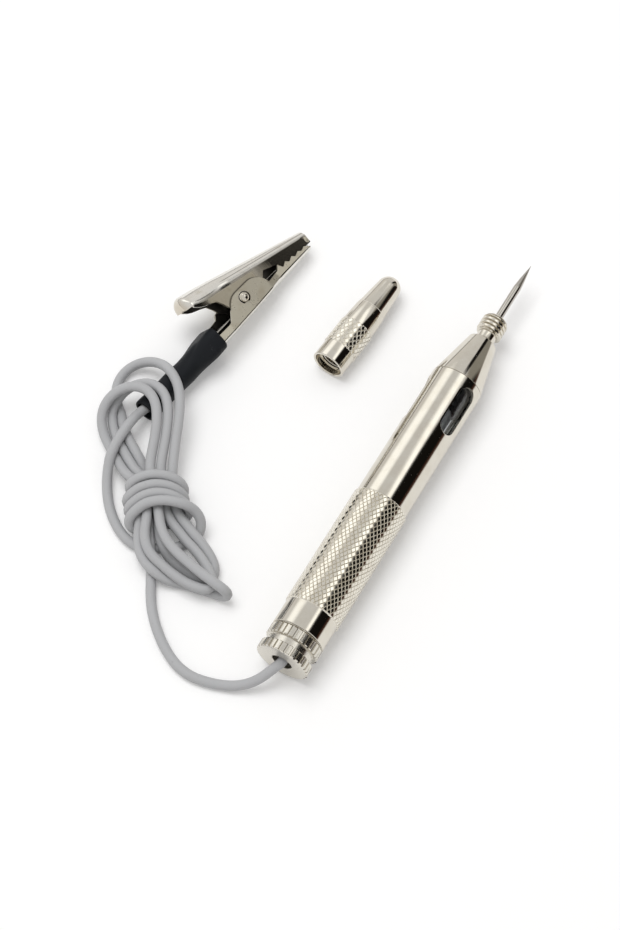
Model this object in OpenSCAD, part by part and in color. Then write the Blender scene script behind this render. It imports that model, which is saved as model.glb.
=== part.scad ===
// Automotive circuit tester: a turned metal pencil body with a lamp behind three windows,
// a needle with its screw-off cap, and a cord wound in a hank that ends in a spring clip.
// Millimetres. The tester lies along X with the needle at +X, and z = 0 is the table.

/* [Barrel] */
// Outer diameter of the plain barrel
barrel_d = 12; // [10.5:0.5:16]
// Length of the barrel tube, from the end cap to the nose cone
barrel_len = 69; // [62:1:90]
// Wall of the barrel tube
barrel_wall = 0.9; // [0.6:0.1:1.1]
// Height of the knurled band over the plain barrel
knurl_rise = 0.3; // [0.15:0.05:0.5]
// Distance from the barrel's rear end to the knurled band
knurl_gap = 5.7; // [3:0.1:8]
// Length of the knurled band
knurl_len = 29.4; // [20:0.2:34]
// Length of each window slot
window_len = 12.2; // [8:0.5:13]
// Width of each window slot
window_w = 4.2; // [3:0.2:5.2]
// Distance from the barrel's front end to the window slots
window_gap = 1.8; // [1.4:0.1:2.6]
// Turn of the first window from the top, towards the operator's right
window_turn = 46; // [0:1:119]

/* [End cap] */
// Length of the rear ridged ring
rear_ring_len = 2.2; // [1.6:0.1:3]
// Length of the groove between the ridged rings
cap_groove_len = 1.6; // [1:0.1:2.4]
// Length of the front ridged ring
front_ring_len = 2.4; // [1.6:0.1:3.2]
// Plain rim between the front ring and the barrel
cap_rim_len = 0.3; // [0.2:0.1:0.6]
// Number of ridges round each ring
ridge_count = 30; // [20:1:40]
// Depth of the ridges
ridge_depth = 0.35; // [0.2:0.05:0.5]
// Depth of the groove between the rings
cap_groove_depth = 0.8; // [0.4:0.1:1]
// Diameter of the hole that the cord leaves by
cord_hole_d = 4.6; // [3.4:0.1:4.8]
// Thickness of the end cap's rear wall
cap_wall = 1.8; // [1:0.1:2.4]
// Length of the end cap's spigot inside the barrel
cap_spigot_len = 6.5; // [4:0.5:9]

/* [Nose] */
// Length of the nose cone's taper
cone_len = 12.1; // [9:0.5:16]
// Diameter at the small end of the cone
cone_tip_d = 6.8; // [6:0.1:8]
// Diameter of the relief behind the nose thread
neck_d = 4.4; // [3.6:0.1:5]
// Length of the relief behind the nose thread
neck_len = 2.2; // [1.4:0.1:3]
// Outer diameter of the nose thread
thread_d = 6; // [5.4:0.1:6.6]
// Length of the nose thread
thread_len = 4; // [3:0.2:5]
// Rounded end of the nose thread
dome_len = 0.8; // [0.4:0.1:1.2]
// Diameter of the needle's shank
needle_d = 1.8; // [1.2:0.1:2.4]
// Length of the needle in front of the nose
needle_out = 15.9; // [10:0.5:17]
// Length of the needle's sharpened point
needle_point = 6.7; // [3:0.1:9]
// Diameter of the needle's head inside the cone
needle_head_d = 4; // [3:0.1:5]
// Length of the needle's head
needle_head_len = 2; // [1:0.1:3]

/* [Needle cap] */
// Length of the needle cap
needle_cap_len = 26.6; // [26:0.2:30]
// Diameter of the needle cap's knurled band
needle_cap_d = 8; // [7.8:0.1:10]
// Distance from the mouth to the knurled band
cap_band_gap = 4.2; // [3:0.2:7]
// Length of the knurled band
cap_band_len = 7; // [4:0.1:9]
// Height of the knurled band over the plain sleeve
cap_band_rise = 0.15; // [0.1:0.05:0.3]
// Depth of the smooth counterbore in the mouth
cap_counterbore = 1.6; // [1:0.1:2.4]
// Distance of the cap's mouth from the tester's rear end, along the tester
needle_cap_x = 66.9; // [60:0.5:75]
// Distance of the cap's mouth from the tester's axis
needle_cap_y = 27.3; // [20:0.5:36]
// Turn of the cap's axis from the tester's axis
needle_cap_turn = -4.7; // [-12:0.5:12]

/* [Lamp] */
// Diameter of the lamp's glass
lamp_d = 6.2; // [5:0.1:6.6]
// Length of the lamp's glass
lamp_len = 11; // [10:0.5:13]
// Diameter of the lamp's metal base
lamp_base_d = 5.5; // [4.6:0.1:6]
// Length of the lamp's metal base
lamp_base_len = 6.5; // [5:0.5:8]
// Length of the brass ring that holds the lamp
holder_len = 4.5; // [3:0.5:5]
// Wall of the clear tube behind the windows
lens_wall = 0.8; // [0.5:0.1:1]
// Length of the black cushion in front of the lamp
cushion_len = 5.5; // [4:0.5:8]
// Outer diameter of the contact spring
spring_d = 3.4; // [2.6:0.1:3.8]
// Wire diameter of the contact spring
spring_wire = 0.5; // [0.3:0.1:0.6]
// Turns of the contact spring
spring_turns = 11; // [6:1:13]
// Outer diameter of the rear insulator
insulator_d = 7.2; // [6.4:0.1:7.6]
// Free length of the spring between the insulator and the lamp
insulator_gap = 6; // [3:0.5:12]

/* [Clip] */
// Thickness of the clip's sheet metal
sheet = 0.6; // [0.4:0.05:0.7]
// Width of the upper jaw at the rivet
jaw_w = 6.3; // [5.6:0.1:8]
// Width of both jaws at the nose
nose_w = 3.4; // [2.6:0.1:4.4]
// Distance from the rivet to the nose
jaw_reach = 23.8; // [23.2:0.1:27]
// Distance from the rivet to the end of the thumb pad
pad_reach = 11.4; // [11:0.2:14]
// Number of teeth on each jaw
tooth_count = 4; // [3:1:5]
// Diameter of the rivet's shank
rivet_d = 2; // [1.6:0.1:2.4]
// Diameter of the rivet's domed heads
rivet_head_d = 3; // [2.6:0.1:3.6]
// Wire diameter of the clip's torsion spring
torsion_wire = 0.6; // [0.3:0.1:0.6]
// Length of the flexible boot behind the clip
boot_len = 22.5; // [18:0.5:30]
// Outer diameter of the boot's rear end
boot_d = 5.4; // [5:0.1:7]
// Wall of the boot
boot_wall = 0.6; // [0.4:0.1:0.8]

/* [Cord] */
// Outer diameter of the cord
cord_d = 2.2; // [1.8:0.1:2.4]
// Diameter of the cord's bare conductor
wire_d = 1; // [0.6:0.1:1.2]

/* [Hidden] */

$fn = 64;

// Sliding fit between turned pieces, on the radius
fit = 0.05;
// Gap between the end cap's rim and the barrel
seat_gap = 0.03;
// Gap between the jaws where they close on each other
bite_gap = 0.08;
// Cuts run past the faces that they open
past = 1;

// Stations along the tester, from the rear face of the end cap
cap_head_len = rear_ring_len + cap_groove_len + front_ring_len + cap_rim_len;
barrel_x0 = cap_head_len;
barrel_x1 = barrel_x0 + barrel_len;
cone_x1 = barrel_x1 + cone_len;
neck_x1 = cone_x1 + neck_len;
thread_x1 = neck_x1 + thread_len;
nose_x1 = thread_x1 + dome_len;
tip_x = nose_x1 + needle_out;
window_x = barrel_x1 - window_gap - window_len / 2;

// Radii of the tester
barrel_r = barrel_d / 2;
knurl_r = barrel_r + knurl_rise;
bore_r = barrel_r - barrel_wall;
spigot_r = bore_r - fit;
cord_r = cord_d / 2;
axis_z = knurl_r;
needle_root_r = needle_d / 2 + 0.4;

// Lamp and contacts, from the cone backwards
spigot_len = window_gap - 0.3;
lens_x1 = barrel_x1 - spigot_len;
lens_r = bore_r - fit;
cushion_x0 = lens_x1 - cushion_len;
cushion_r = lens_r - lens_wall - fit;
lamp_seat = 0.8;
lamp_x1 = cushion_x0 + lamp_seat;
lamp_x0 = lamp_x1 - lamp_len;
base_x0 = lamp_x0 - lamp_base_len;
base_flange_r = (lamp_base_d + lamp_d) / 4 + 0.15;
dot_len = 0.5;
disc_len = 0.8;
dot_x0 = base_x0 - disc_len - dot_len;
dot_r = spring_d / 2 + 0.1;

// Insulator, contact cup and cord end, from the end cap forwards
cap_bore_r = insulator_d / 2 + fit + 0.03;
insulator_x0 = cap_wall + 0.1;
insulator_x1 = dot_x0 - insulator_gap;
stop_len = 2.5;
stop_r = cord_hole_d / 2 + 0.3;
well_r = spring_d / 2 + 0.25;
well_depth = 14;
well_x0 = insulator_x0 + well_depth;
cup_head_len = 1;
cup_stem_len = 4;
cup_stem_r = cord_r;
cup_stem_x0 = well_x0 - cup_stem_len;
cord_end_x = cup_stem_x0 - 0.2;
spring_x0 = well_x0 + cup_head_len;

// Needle cap
needle_cap_r = needle_cap_d / 2;
sleeve_r = needle_cap_r - cap_band_rise;
cap_thread_r = thread_d / 2 - 0.45;
cap_bore_end = cap_counterbore + thread_len + dome_len + needle_out + 0.6;

// The row's origin is under the middle of the tester and its needle cap
mouth_edge_y = needle_cap_y + sleeve_r * cos(needle_cap_turn);
origin_x = tip_x / 2;
origin_y = (mouth_edge_y - knurl_r) / 2;

// Pose of the clip: the rivet's middle, and the roll, dip and turn of the jaws
clip_at = [70.4, 52.5, 5.22];
clip_roll = 30;
clip_dip = 3;
clip_turn = -9;

// Clip: heights of the bend lines over the rivet, and their slopes
upper_bend_y = 4.5;
upper_slope = -0.215;
upper_back_y = 7;
upper_back_slope = -0.262;
lower_bend_y = -3.5;
lower_slope = 0.05;
ear_clear = 0.1;
jaw_hw = jaw_w / 2;
nose_hw = nose_w / 2;
ear_hw = jaw_hw + sheet + ear_clear;
tooth_x0 = 12.5;
tooth_x1 = jaw_reach - 2.7;
tooth_pitch = (tooth_x1 - tooth_x0) / tooth_count;
pin_r = rivet_d / 2;

// Boot: the middle of its front opening and of its waist, its end's offset and its front's size
boot_at = [-10.6, -2.45, 0];
boot_waist = [-20.5, -3.1, -1];
boot_x1 = boot_at[0] - boot_len;
boot_end = [boot_x1, -3.2, -2.6];
boot_w = 2 * (ear_hw + boot_wall - 0.2);
boot_h = 5.8;
// Corner of the boot's front, and the stretch over which its section turns round
boot_corner = 2;
boot_round_x = -13;
boot_round_len = 6;

// Route of the cord from the tester to the hank, the exit's own stretch first
lead_route = [[cord_end_x, 0, 0], [3, 0, 0], [0, 0.2, -0.4], [-3, 1.7, -1.7], [-6, 4.2, -3.7],
    [-8.5, 8.6, 1.3 - axis_z], [-10.2, 13.5, 1.2 - axis_z], [-10, 18.5, 1.2 - axis_z],
    [-7.5, 23.8, 1.2 - axis_z], [-3.5, 28.8, 1.2 - axis_z], [0.5, 32.2, 1.2 - axis_z],
    [5.5, 34.8, 1.3 - axis_z]];
// Route of the cord from the wraps to the boot, in the tester's frame
tail_route = [[11.3, 37, 1.15], [9.5, 40, 1.15], [9.5, 43.5, 1.15], [11, 46.8, 1.15],
    [14, 50.4, 1.15], [18, 53.8, 1.3], [21.8, 56.2, 2.8], [25, 57.2, 5.6], [28.5, 57.2, 7.4], [32, 57.2, 6.4],
    [35, 57, 4.4], [38, 56.6, 3.2], [43, 55.1, 3.2], [49, 53.7, 3.9], [52.8, 52.8, 4.6]];
// Hank: round corners of its lower loops, of its upper loops and of the crossings over the
// boot, as [x, y, radius], with the height of each; then the belt of wraps round its middle
lower_loops = [[9.8, 19.8, 3.1], [10.4, 33.2, 5.8], [17.5, 40, 6.6]];
lower_loops_h = 6.6;
upper_loops = [[18.5, 41, 6.4], [32.2, 60.4, 4.8], [39, 61, 5.4], [43.6, 60.8, 5.2], [44.8, 54.6, 3.6]];
upper_loops_h = 7;
crossing_loops = [[34.5, 52.6, 3.4], [39, 59.2, 4], [44.4, 54.2, 3.4]];
crossing_loops_h = 9.9;
belt_at = [21, 43.1];
belt_turn = 31.5;
belt_w = 9.6;
belt_len = 14.4;
belt_h = 8.5;

// Vector helpers
function unit(v) = v / norm(v);
function lerp(a, b, t) = a + (b - a) * t;
function clamp01(t) = min(1, max(0, t));
// Smooth curve through a list of points, with a number of steps to each span
function curve_point(p, i, t) =
    let (a = p[max(i - 1, 0)], b = p[i], c = p[i + 1], d = p[min(i + 2, len(p) - 1)])
    0.5 * (2 * b + (c - a) * t + (2 * a - 5 * b + 4 * c - d) * t * t
        + (3 * b - a - 3 * c + d) * t * t * t);
function curve(p, steps) = concat(
    [for (i = [0:len(p) - 2]) for (k = [0:steps - 1]) curve_point(p, i, k / steps)],
    [p[len(p) - 1]]);

// Round wire along a line of points; up is a direction that the line never follows
module wire(points, r, sides, up) {
    n = len(points);
    rings = [for (i = [0:n - 1])
        let (ahead = unit(points[min(i + 1, n - 1)] - points[max(i - 1, 0)]),
            side = unit(cross(up, ahead)),
            over = cross(ahead, side))
        for (k = [0:sides - 1])
            points[i] + r * (cos(360 * k / sides) * side + sin(360 * k / sides) * over)];
    walls = [for (i = [0:n - 2]) for (k = [0:sides - 1])
        let (a = i * sides + k, b = i * sides + (k + 1) % sides)
        each [[a, a + sides, b + sides], [a, b + sides, b]]];
    polyhedron(points = rings, convexity = 10,
        faces = concat(walls, [[for (k = [0:sides - 1]) k]],
            [[for (k = [sides - 1:-1:0]) (n - 1) * sides + k]]));
}

// Solid through a row of sections that all have the same number of points
module loft(sections) {
    n = len(sections);
    m = len(sections[0]);
    walls = [for (i = [0:n - 2]) for (k = [0:m - 1])
        let (a = i * m + k, b = i * m + (k + 1) % m)
        each [[a, b, b + m], [a, b + m, a + m]]];
    polyhedron(points = [for (section = sections) for (p = section) p], convexity = 10,
        faces = concat(walls, [[for (k = [m - 1:-1:0]) k]], [[for (k = [0:m - 1]) (n - 1) * m + k]]));
}

// Turned piece along X, from a profile of [radius, x]
module turned(profile) {
    rotate([0, 90, 0]) rotate_extrude() polygon(profile);
}

// Plain bore or pin along X
module along_x(x0, x1, r) {
    translate([x0, 0, 0]) rotate([0, 90, 0]) cylinder(r = r, h = x1 - x0);
}

// Moves from the tester's own frame to the row's frame
module in_row() {
    translate([-origin_x, -origin_y, 0]) children();
}

module on_axis() {
    in_row() translate([0, 0, axis_z]) children();
}

module in_clip() {
    in_row() translate(clip_at) rotate([clip_roll, clip_dip, clip_turn]) children();
}

// Straight ridges round one ring of the end cap, with their ends chamfered
module ridged_ring(x0, length) {
    step = 360 / ridge_count;
    chamfer = ridge_depth;
    ridge = [[-0.36, barrel_r - ridge_depth], [-0.26, barrel_r], [0.26, barrel_r],
        [0.36, barrel_r - ridge_depth]];
    intersection() {
        translate([x0, 0, 0]) rotate([0, 90, 0]) linear_extrude(length)
            polygon([for (i = [0:ridge_count - 1]) for (p = ridge)
                p[1] * [cos((i + p[0]) * step), sin((i + p[0]) * step)]]);
        turned([[0, x0], [barrel_r + 0.04 - chamfer, x0], [barrel_r + 0.04, x0 + chamfer],
            [barrel_r + 0.04, x0 + length - chamfer], [barrel_r + 0.04 - chamfer, x0 + length],
            [0, x0 + length]]);
    }
}

module end_cap() {
    groove_r = barrel_r - cap_groove_depth;
    front_ring_x = rear_ring_len + cap_groove_len;
    rim_x = front_ring_x + front_ring_len;
    spigot_x1 = cap_head_len + cap_spigot_len;
    color([0.78, 0.77, 0.74]) on_axis() difference() {
        union() {
            ridged_ring(0, rear_ring_len);
            ridged_ring(front_ring_x, front_ring_len);
            along_x(0.5, rim_x, groove_r);
            turned([[0, rim_x - 0.2], [barrel_r - ridge_depth, rim_x - 0.2],
                [barrel_r - 0.1, rim_x + 0.1], [barrel_r - 0.1, cap_head_len - seat_gap],
                [0, cap_head_len - seat_gap]]);
            turned([[0, cap_head_len - 0.2], [spigot_r, cap_head_len - 0.2],
                [spigot_r, spigot_x1 - 0.4], [spigot_r - 0.4, spigot_x1], [0, spigot_x1]]);
        }
        along_x(-past, cap_wall + past, cord_hole_d / 2);
        along_x(cap_wall, spigot_x1 + past, cap_bore_r);
    }
}

// Obround slot through the wall, square to the barrel's surface
module window() {
    end_shift = (window_len - window_w) / 2;
    translate([window_x, 0, 0]) linear_extrude(barrel_d) union() {
        square([window_len - window_w, window_w], center = true);
        translate([-end_shift, 0]) circle(window_w / 2);
        translate([end_shift, 0]) circle(window_w / 2);
    }
}

module barrel() {
    knurl_x0 = barrel_x0 + knurl_gap;
    knurl_x1 = knurl_x0 + knurl_len;
    color([0.8, 0.79, 0.75]) on_axis() difference() {
        turned([[bore_r, barrel_x0], [barrel_r - 0.15, barrel_x0], [barrel_r, barrel_x0 + 0.15],
            [barrel_r, knurl_x0], [knurl_r, knurl_x0 + knurl_rise],
            [knurl_r, knurl_x1 - knurl_rise], [barrel_r, knurl_x1],
            [barrel_r, barrel_x1], [bore_r, barrel_x1]]);
        for (i = [0:2]) rotate([window_turn + 120 * i, 0, 0]) window();
    }
}

// Cone, relief and nose thread in one turned piece, bored for the needle
module nose_cone() {
    thread_r = thread_d / 2;
    hole_r = needle_root_r + 0.02;
    head_seat_x = barrel_x1 + 1;
    color([0.8, 0.79, 0.76]) on_axis() difference() {
        turned(concat(
            [[hole_r, lens_x1], [spigot_r, lens_x1], [spigot_r, barrel_x1], [barrel_r - 0.05, barrel_x1],
                [cone_tip_d / 2, cone_x1 - 0.3], [cone_tip_d / 2 - 0.3, cone_x1], [neck_d / 2, cone_x1],
                [neck_d / 2, neck_x1], [thread_r - 0.4, neck_x1], [thread_r, neck_x1 + 0.4]],
            [for (a = [0:15:75]) [hole_r + (thread_r - hole_r) * cos(a), thread_x1 + dome_len * sin(a)]],
            [[hole_r, nose_x1]]));
        along_x(lens_x1 - past, head_seat_x, needle_head_d / 2 + 0.02);
    }
}

module needle() {
    shank_r = needle_d / 2;
    head_x1 = barrel_x1 + 1;
    head_x0 = head_x1 - needle_head_len;
    point_x0 = tip_x - needle_point;
    color([0.62, 0.6, 0.58]) on_axis() turned(concat(
        [[0, head_x0], [needle_head_d / 2, head_x0], [needle_head_d / 2, head_x1],
            [needle_root_r, head_x1], [needle_root_r, nose_x1 - 0.15], [shank_r, nose_x1 - 0.05],
            [shank_r, point_x0]],
        [for (t = [0.25:0.25:0.75]) [shank_r * (1 - t * (0.7 + 0.3 * t)), point_x0 + needle_point * t]],
        [[0.06, tip_x - 0.05], [0, tip_x]]));
}

module lens_tube() {
    color([0.85, 0.9, 0.92, 0.45]) on_axis() turned([[lens_r - lens_wall, lamp_x0],
        [lens_r, lamp_x0], [lens_r, lens_x1], [lens_r - lens_wall, lens_x1]]);
}

// Black bush that the lamp's glass seats in; its rear face shows in the windows
module front_cushion() {
    head_room = needle_head_d / 2 + 0.1;
    color([0.08, 0.08, 0.08]) on_axis() difference() {
        along_x(cushion_x0, lens_x1, cushion_r);
        along_x(cushion_x0 - past, lamp_x1, lamp_d / 2 + fit);
        along_x(barrel_x1 + 1 - needle_head_len - 0.1, lens_x1 + past, head_room);
    }
}

module lamp_glass() {
    glass_r = lamp_d / 2;
    round_len = 2.4;
    color([0.9, 0.93, 0.95, 0.4]) on_axis() turned(concat(
        [[0, lamp_x0], [glass_r, lamp_x0]],
        [for (a = [0:15:75]) [glass_r * cos(a), lamp_x1 - round_len + round_len * sin(a)]],
        [[0, lamp_x1], [0, lamp_x1 - 0.6]],
        [for (a = [75:-15:0])
            [(glass_r - 0.5) * cos(a), lamp_x1 - round_len + (round_len - 0.6) * sin(a)]],
        [[glass_r - 0.5, lamp_x0 + 0.6], [0, lamp_x0 + 0.6]]));
}

// Two support wires and the filament between them, inside the glass
module lamp_filament() {
    post_x1 = lamp_x0 + 5.5;
    post_y = 0.9;
    color([0.4, 0.38, 0.36]) on_axis() union() {
        for (side = [-1, 1]) translate([0, side * post_y, 0]) along_x(lamp_x0 + 0.6, post_x1, 0.15);
        translate([post_x1 - 0.15, -post_y - 0.15, 0]) rotate([-90, 0, 0])
            cylinder(r = 0.12, h = 2 * post_y + 0.3);
    }
}

module lamp_base() {
    base_r = lamp_base_d / 2;
    color([0.75, 0.66, 0.42]) on_axis() turned([[0, base_x0], [base_r - 0.4, base_x0],
        [base_r, base_x0 + 0.6], [base_r, lamp_x0 - 0.6], [base_flange_r + 0.3, lamp_x0 - 0.6],
        [base_flange_r + 0.3, lamp_x0], [0, lamp_x0]]);
}

module lamp_insulator() {
    color([0.12, 0.1, 0.12]) on_axis()
        along_x(base_x0 - disc_len, base_x0, lamp_base_d / 2 - 0.5);
}

module lamp_contact() {
    color([0.66, 0.67, 0.68]) on_axis() along_x(dot_x0, base_x0 - disc_len, dot_r);
}

// Brass ring pressed in the barrel that carries the lamp's base
module lamp_holder() {
    color([0.78, 0.66, 0.36]) on_axis() difference() {
        along_x(lamp_x0 - 0.6 - holder_len, lamp_x0 - 0.05, spigot_r);
        along_x(lamp_x0 - 0.6 - holder_len - past, lamp_x0, lamp_base_d / 2 + fit);
        along_x(lamp_x0 - 0.6, lamp_x0 + past, base_flange_r + 0.3 + fit);
    }
}

module contact_spring() {
    mean_r = (spring_d - spring_wire) / 2;
    x0 = spring_x0 + spring_wire / 2;
    x1 = dot_x0 - spring_wire / 2;
    steps = spring_turns * 10;
    color([0.7, 0.7, 0.72]) on_axis() wire([for (i = [0:steps])
        let (a = 36 * i) [lerp(x0, x1, i / steps), mean_r * cos(a), mean_r * sin(a)]],
        spring_wire / 2, 6, [1, 0, 0]);
}

// Brass eyelet that the spring stands on and the conductor is soldered in
module contact_cup() {
    color([0.8, 0.68, 0.38]) on_axis() difference() {
        union() {
            along_x(well_x0, spring_x0, well_r - fit);
            along_x(cup_stem_x0, well_x0 + 0.1, cup_stem_r);
        }
        along_x(cup_stem_x0 - past, spring_x0 + past, wire_d / 2 + 0.02);
    }
}

module rear_insulator() {
    color([0.12, 0.12, 0.13]) on_axis() difference() {
        along_x(insulator_x0, insulator_x1, insulator_d / 2);
        along_x(insulator_x0 - past, insulator_x0 + stop_len + 0.1, stop_r + fit);
        along_x(insulator_x0, well_x0 + past, cord_r + 0.15);
        along_x(well_x0, insulator_x1 + past, well_r);
    }
}

// Crimped ring on the cord that keeps a pull off the solder
module cord_stop() {
    color([0.1, 0.1, 0.1]) on_axis() difference() {
        along_x(insulator_x0, insulator_x0 + stop_len, stop_r);
        along_x(insulator_x0 - past, insulator_x0 + stop_len + past, cord_r);
    }
}

module cord_conductor() {
    color([0.72, 0.45, 0.3]) on_axis() along_x(cord_end_x, spring_x0 - 0.2, wire_d / 2);
}

module cord_lead() {
    color([0.6, 0.61, 0.62]) on_axis() wire(curve(lead_route, 2), cord_r, 8, [0, 0, 1]);
}

module cord_tail() {
    color([0.6, 0.61, 0.62]) in_row() wire(curve(tail_route, 1), cord_r, 8, [0, 0, 1]);
}

module slab(discs, height) {
    linear_extrude(height) hull() for (d = discs) translate([d[0], d[1]]) circle(d[2], $fn = 32);
}

// The hank's outer shape, with a way through it for the boot
module cord_hank() {
    color([0.62, 0.63, 0.64]) in_row() difference() {
        union() {
            slab(lower_loops, lower_loops_h);
            slab(upper_loops, upper_loops_h);
            slab(crossing_loops, crossing_loops_h);
            translate([belt_at[0], belt_at[1], belt_h / 2]) rotate([0, 90, belt_turn]) hull()
                for (side = [-1, 1]) translate([0, side * (belt_len - belt_h) / 2, -belt_w / 2])
                    cylinder(r = belt_h / 2, h = belt_w, $fn = 32);
        }
        translate(clip_at) rotate([clip_roll, clip_dip, clip_turn]) boot_form(-0.1, 0.1);
    }
}

// Outline of the needle cap's rounded end
function cap_end(r, x0, x1) = [for (a = [15:15:75]) [r * cos(a), x0 + (x1 - x0) * sin(a)]];

module needle_cap() {
    band_x1 = cap_band_gap + cap_band_len;
    edge_x = band_x1 + 5.4;
    edge_r = sleeve_r - 0.25;
    end_x = needle_cap_len - 2.9;
    end_r = sleeve_r - 1.05;
    color([0.8, 0.79, 0.76]) in_row() translate([needle_cap_x, needle_cap_y, needle_cap_r])
        rotate([0, 0, needle_cap_turn]) difference() {
            turned(concat([[0, 0], [sleeve_r - 0.1, 0], [sleeve_r, 0.1], [sleeve_r, cap_band_gap],
                [needle_cap_r, cap_band_gap + 0.2], [needle_cap_r, band_x1 - 0.2],
                [sleeve_r - 0.05, band_x1], [sleeve_r - 0.05, band_x1 + 1.6], [edge_r, edge_x],
                [edge_r - 0.08, edge_x + 0.15], [end_r, end_x]],
                cap_end(end_r, end_x, needle_cap_len), [[0, needle_cap_len]]));
            along_x(-past, cap_counterbore, thread_d / 2 + 0.25);
            along_x(-past, cap_counterbore + thread_len + dome_len, cap_thread_r);
            along_x(0, cap_bore_end, needle_d / 2 + 0.5);
        }
}

// Half-widths of the jaws at x: the upper tapers to the nose and flares at the thumb pad,
// and the lower steps out round it by one sheet at the rivet
function upper_hw(x) = x > 0 ? lerp(jaw_hw, nose_hw, x / jaw_reach)
    : x > -5 ? jaw_hw : jaw_hw + 0.07 * (-5 - x);
function ear_step(x) = (ear_hw - jaw_hw) * clamp01((10.5 - x) / 3.5);
function lower_hw(x) = x > -7 ? upper_hw(max(x, 0)) + ear_step(x)
    : lerp(ear_hw, ear_hw - 1, clamp01((-7 - x) / 5.5));
// Heights of the upper jaw's bend and of its rounded back, which lift towards the thumb pad
function upper_bend(x) = x > -5 ? upper_bend_y + upper_slope * x
    : upper_bend_y - 5 * upper_slope + 0.13 * (-5 - x) + 0.13 * pow(max(0, -8.5 - x), 2);
function upper_back(x) = upper_back_y + upper_back_slope * x - 0.007 * pow(max(0, -5 - x), 2);
function upper_rise(x) = upper_back(x) - upper_bend(x);
function lower_bend(x) = -lower_bend_y - lower_slope * x;
lower_rise = 0.7;

// Section of a jaw: straight flanks from low, and a rounded back
function jaw_section(x, hw, bend, rise, low) = [for (p = concat([[low, hw]],
    [for (a = [0:15:180]) [bend + rise * sin(a), hw * cos(a)]], [[low, -hw]])) [x, p[0], p[1]]];

// Toothed edge where the jaws meet, from the rear tooth to the nose
bite_edge = concat([[tooth_x0, -0.2]],
    [for (i = [0:tooth_count - 1]) let (x = tooth_x0 + i * tooth_pitch, drop = -0.13 * i)
        each [[x + 0.3 * tooth_pitch, -1.35 + drop], [x + 0.45 * tooth_pitch, -1.45 + drop],
            [x + tooth_pitch, -0.85 + 1.6 * drop]]],
    [[tooth_x1 + 0.5, -1.9], [jaw_reach - 1.1, -2]]);

// The far flanges meet on a plain edge where the near ones leave an opening before the teeth
far_bite_edge = [for (i = [1:len(bite_edge) - 1]) bite_edge[i]];

// Side outlines of the upper jaw: thumb pad, flange with its rear cut, rivet lobe and teeth
upper_rear = concat(
    [[-pad_reach, 12], [-pad_reach, 7.8], [-9.9, 6.6], [-8.1, 5.35], [-6.8, 4.5],
        [-5.3, 3.6], [-4.6, 2], [-4.1, 0.6]],
    [for (a = [190:20:350]) 2.9 * [cos(a), sin(a)]]);
upper_front = [[jaw_reach - 0.3, -1.7], [jaw_reach, -0.6], [jaw_reach - 0.2, 0.3],
    [jaw_reach - 0.8, 1], [jaw_reach - 2, 12]];
upper_near = concat(upper_rear, [[6.9, -0.2], [7.9, 0.7], [8.5, 1.2], [10.4, 0.5]],
    bite_edge, upper_front);
upper_far = concat(upper_rear, [[6.6, -0.8], [7.4, -1.35]], far_bite_edge, upper_front);

module clip_upper_jaw() {
    shared = [-11, -10, -8.5, -7, -5, 0];
    stations = concat([-13], shared, [jaw_reach]);
    inside = concat([-14], shared, [jaw_reach - sheet]);
    low = -6;
    color([0.8, 0.79, 0.74]) in_clip() difference() {
        intersection() {
            difference() {
                loft([for (x = stations)
                    jaw_section(x, upper_hw(x), upper_bend(x), upper_rise(x), low)]);
                loft([for (x = inside)
                    jaw_section(x, upper_hw(x) - sheet, upper_bend(x), upper_rise(x) - sheet, low - past)]);
            }
            union() {
                linear_extrude(2 * jaw_w) polygon(upper_near);
                mirror([0, 0, 1]) linear_extrude(2 * jaw_w) polygon(upper_far);
            }
        }
        cylinder(r = pin_r + fit, h = 4 * jaw_w, center = true);
    }
}

// Side outlines of the lower jaw: round ears at the rivet, and a tail whose far flange is taller
ear_r = 4.3;
ear_front = [2.4, -2.2];
ear_rear = [-0.6, -2.2];
lower_nose_x = jaw_reach - 0.7;
near_tail = [[-12.5, -8], [-12.5, -2.2], [-7.3, -2.1], [-6.4, -1.9], [-4.6, 0]];
far_tail = [[-12.5, -8], [-12.5, -0.9], [-9, -0.4], [-7, -0.3], [-5.6, -0.1], [-4.8, 0.9]];
ear_edge = [for (a = [90:-15:15]) ear_front + ear_r * [cos(a), sin(a)]];
lower_end = [[lower_nose_x, -2.3], [lower_nose_x, -8]];
near_outline = concat(near_tail,
    [for (a = [145:-15:90]) ear_rear + ear_r * [cos(a), sin(a)]],
    ear_edge, [[7.4, -1.45], [11.3, -1.25]], [for (p = bite_edge) p - [0, bite_gap]], lower_end);
far_outline = concat(far_tail,
    [for (a = [125:-15:90]) ear_rear + ear_r * [cos(a), sin(a)]],
    ear_edge, [[7.4, -1.45]], [for (p = far_bite_edge) p - [0, bite_gap]], lower_end);

// Crimp behind the tail that grips the cord
tail_x0 = -12.5;
crimp_len = 4.5;
crimp_x0 = tail_x0 - 0.6 - crimp_len;
crimp_r = cord_r + sheet;
crimp_y = -2.8;

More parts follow.
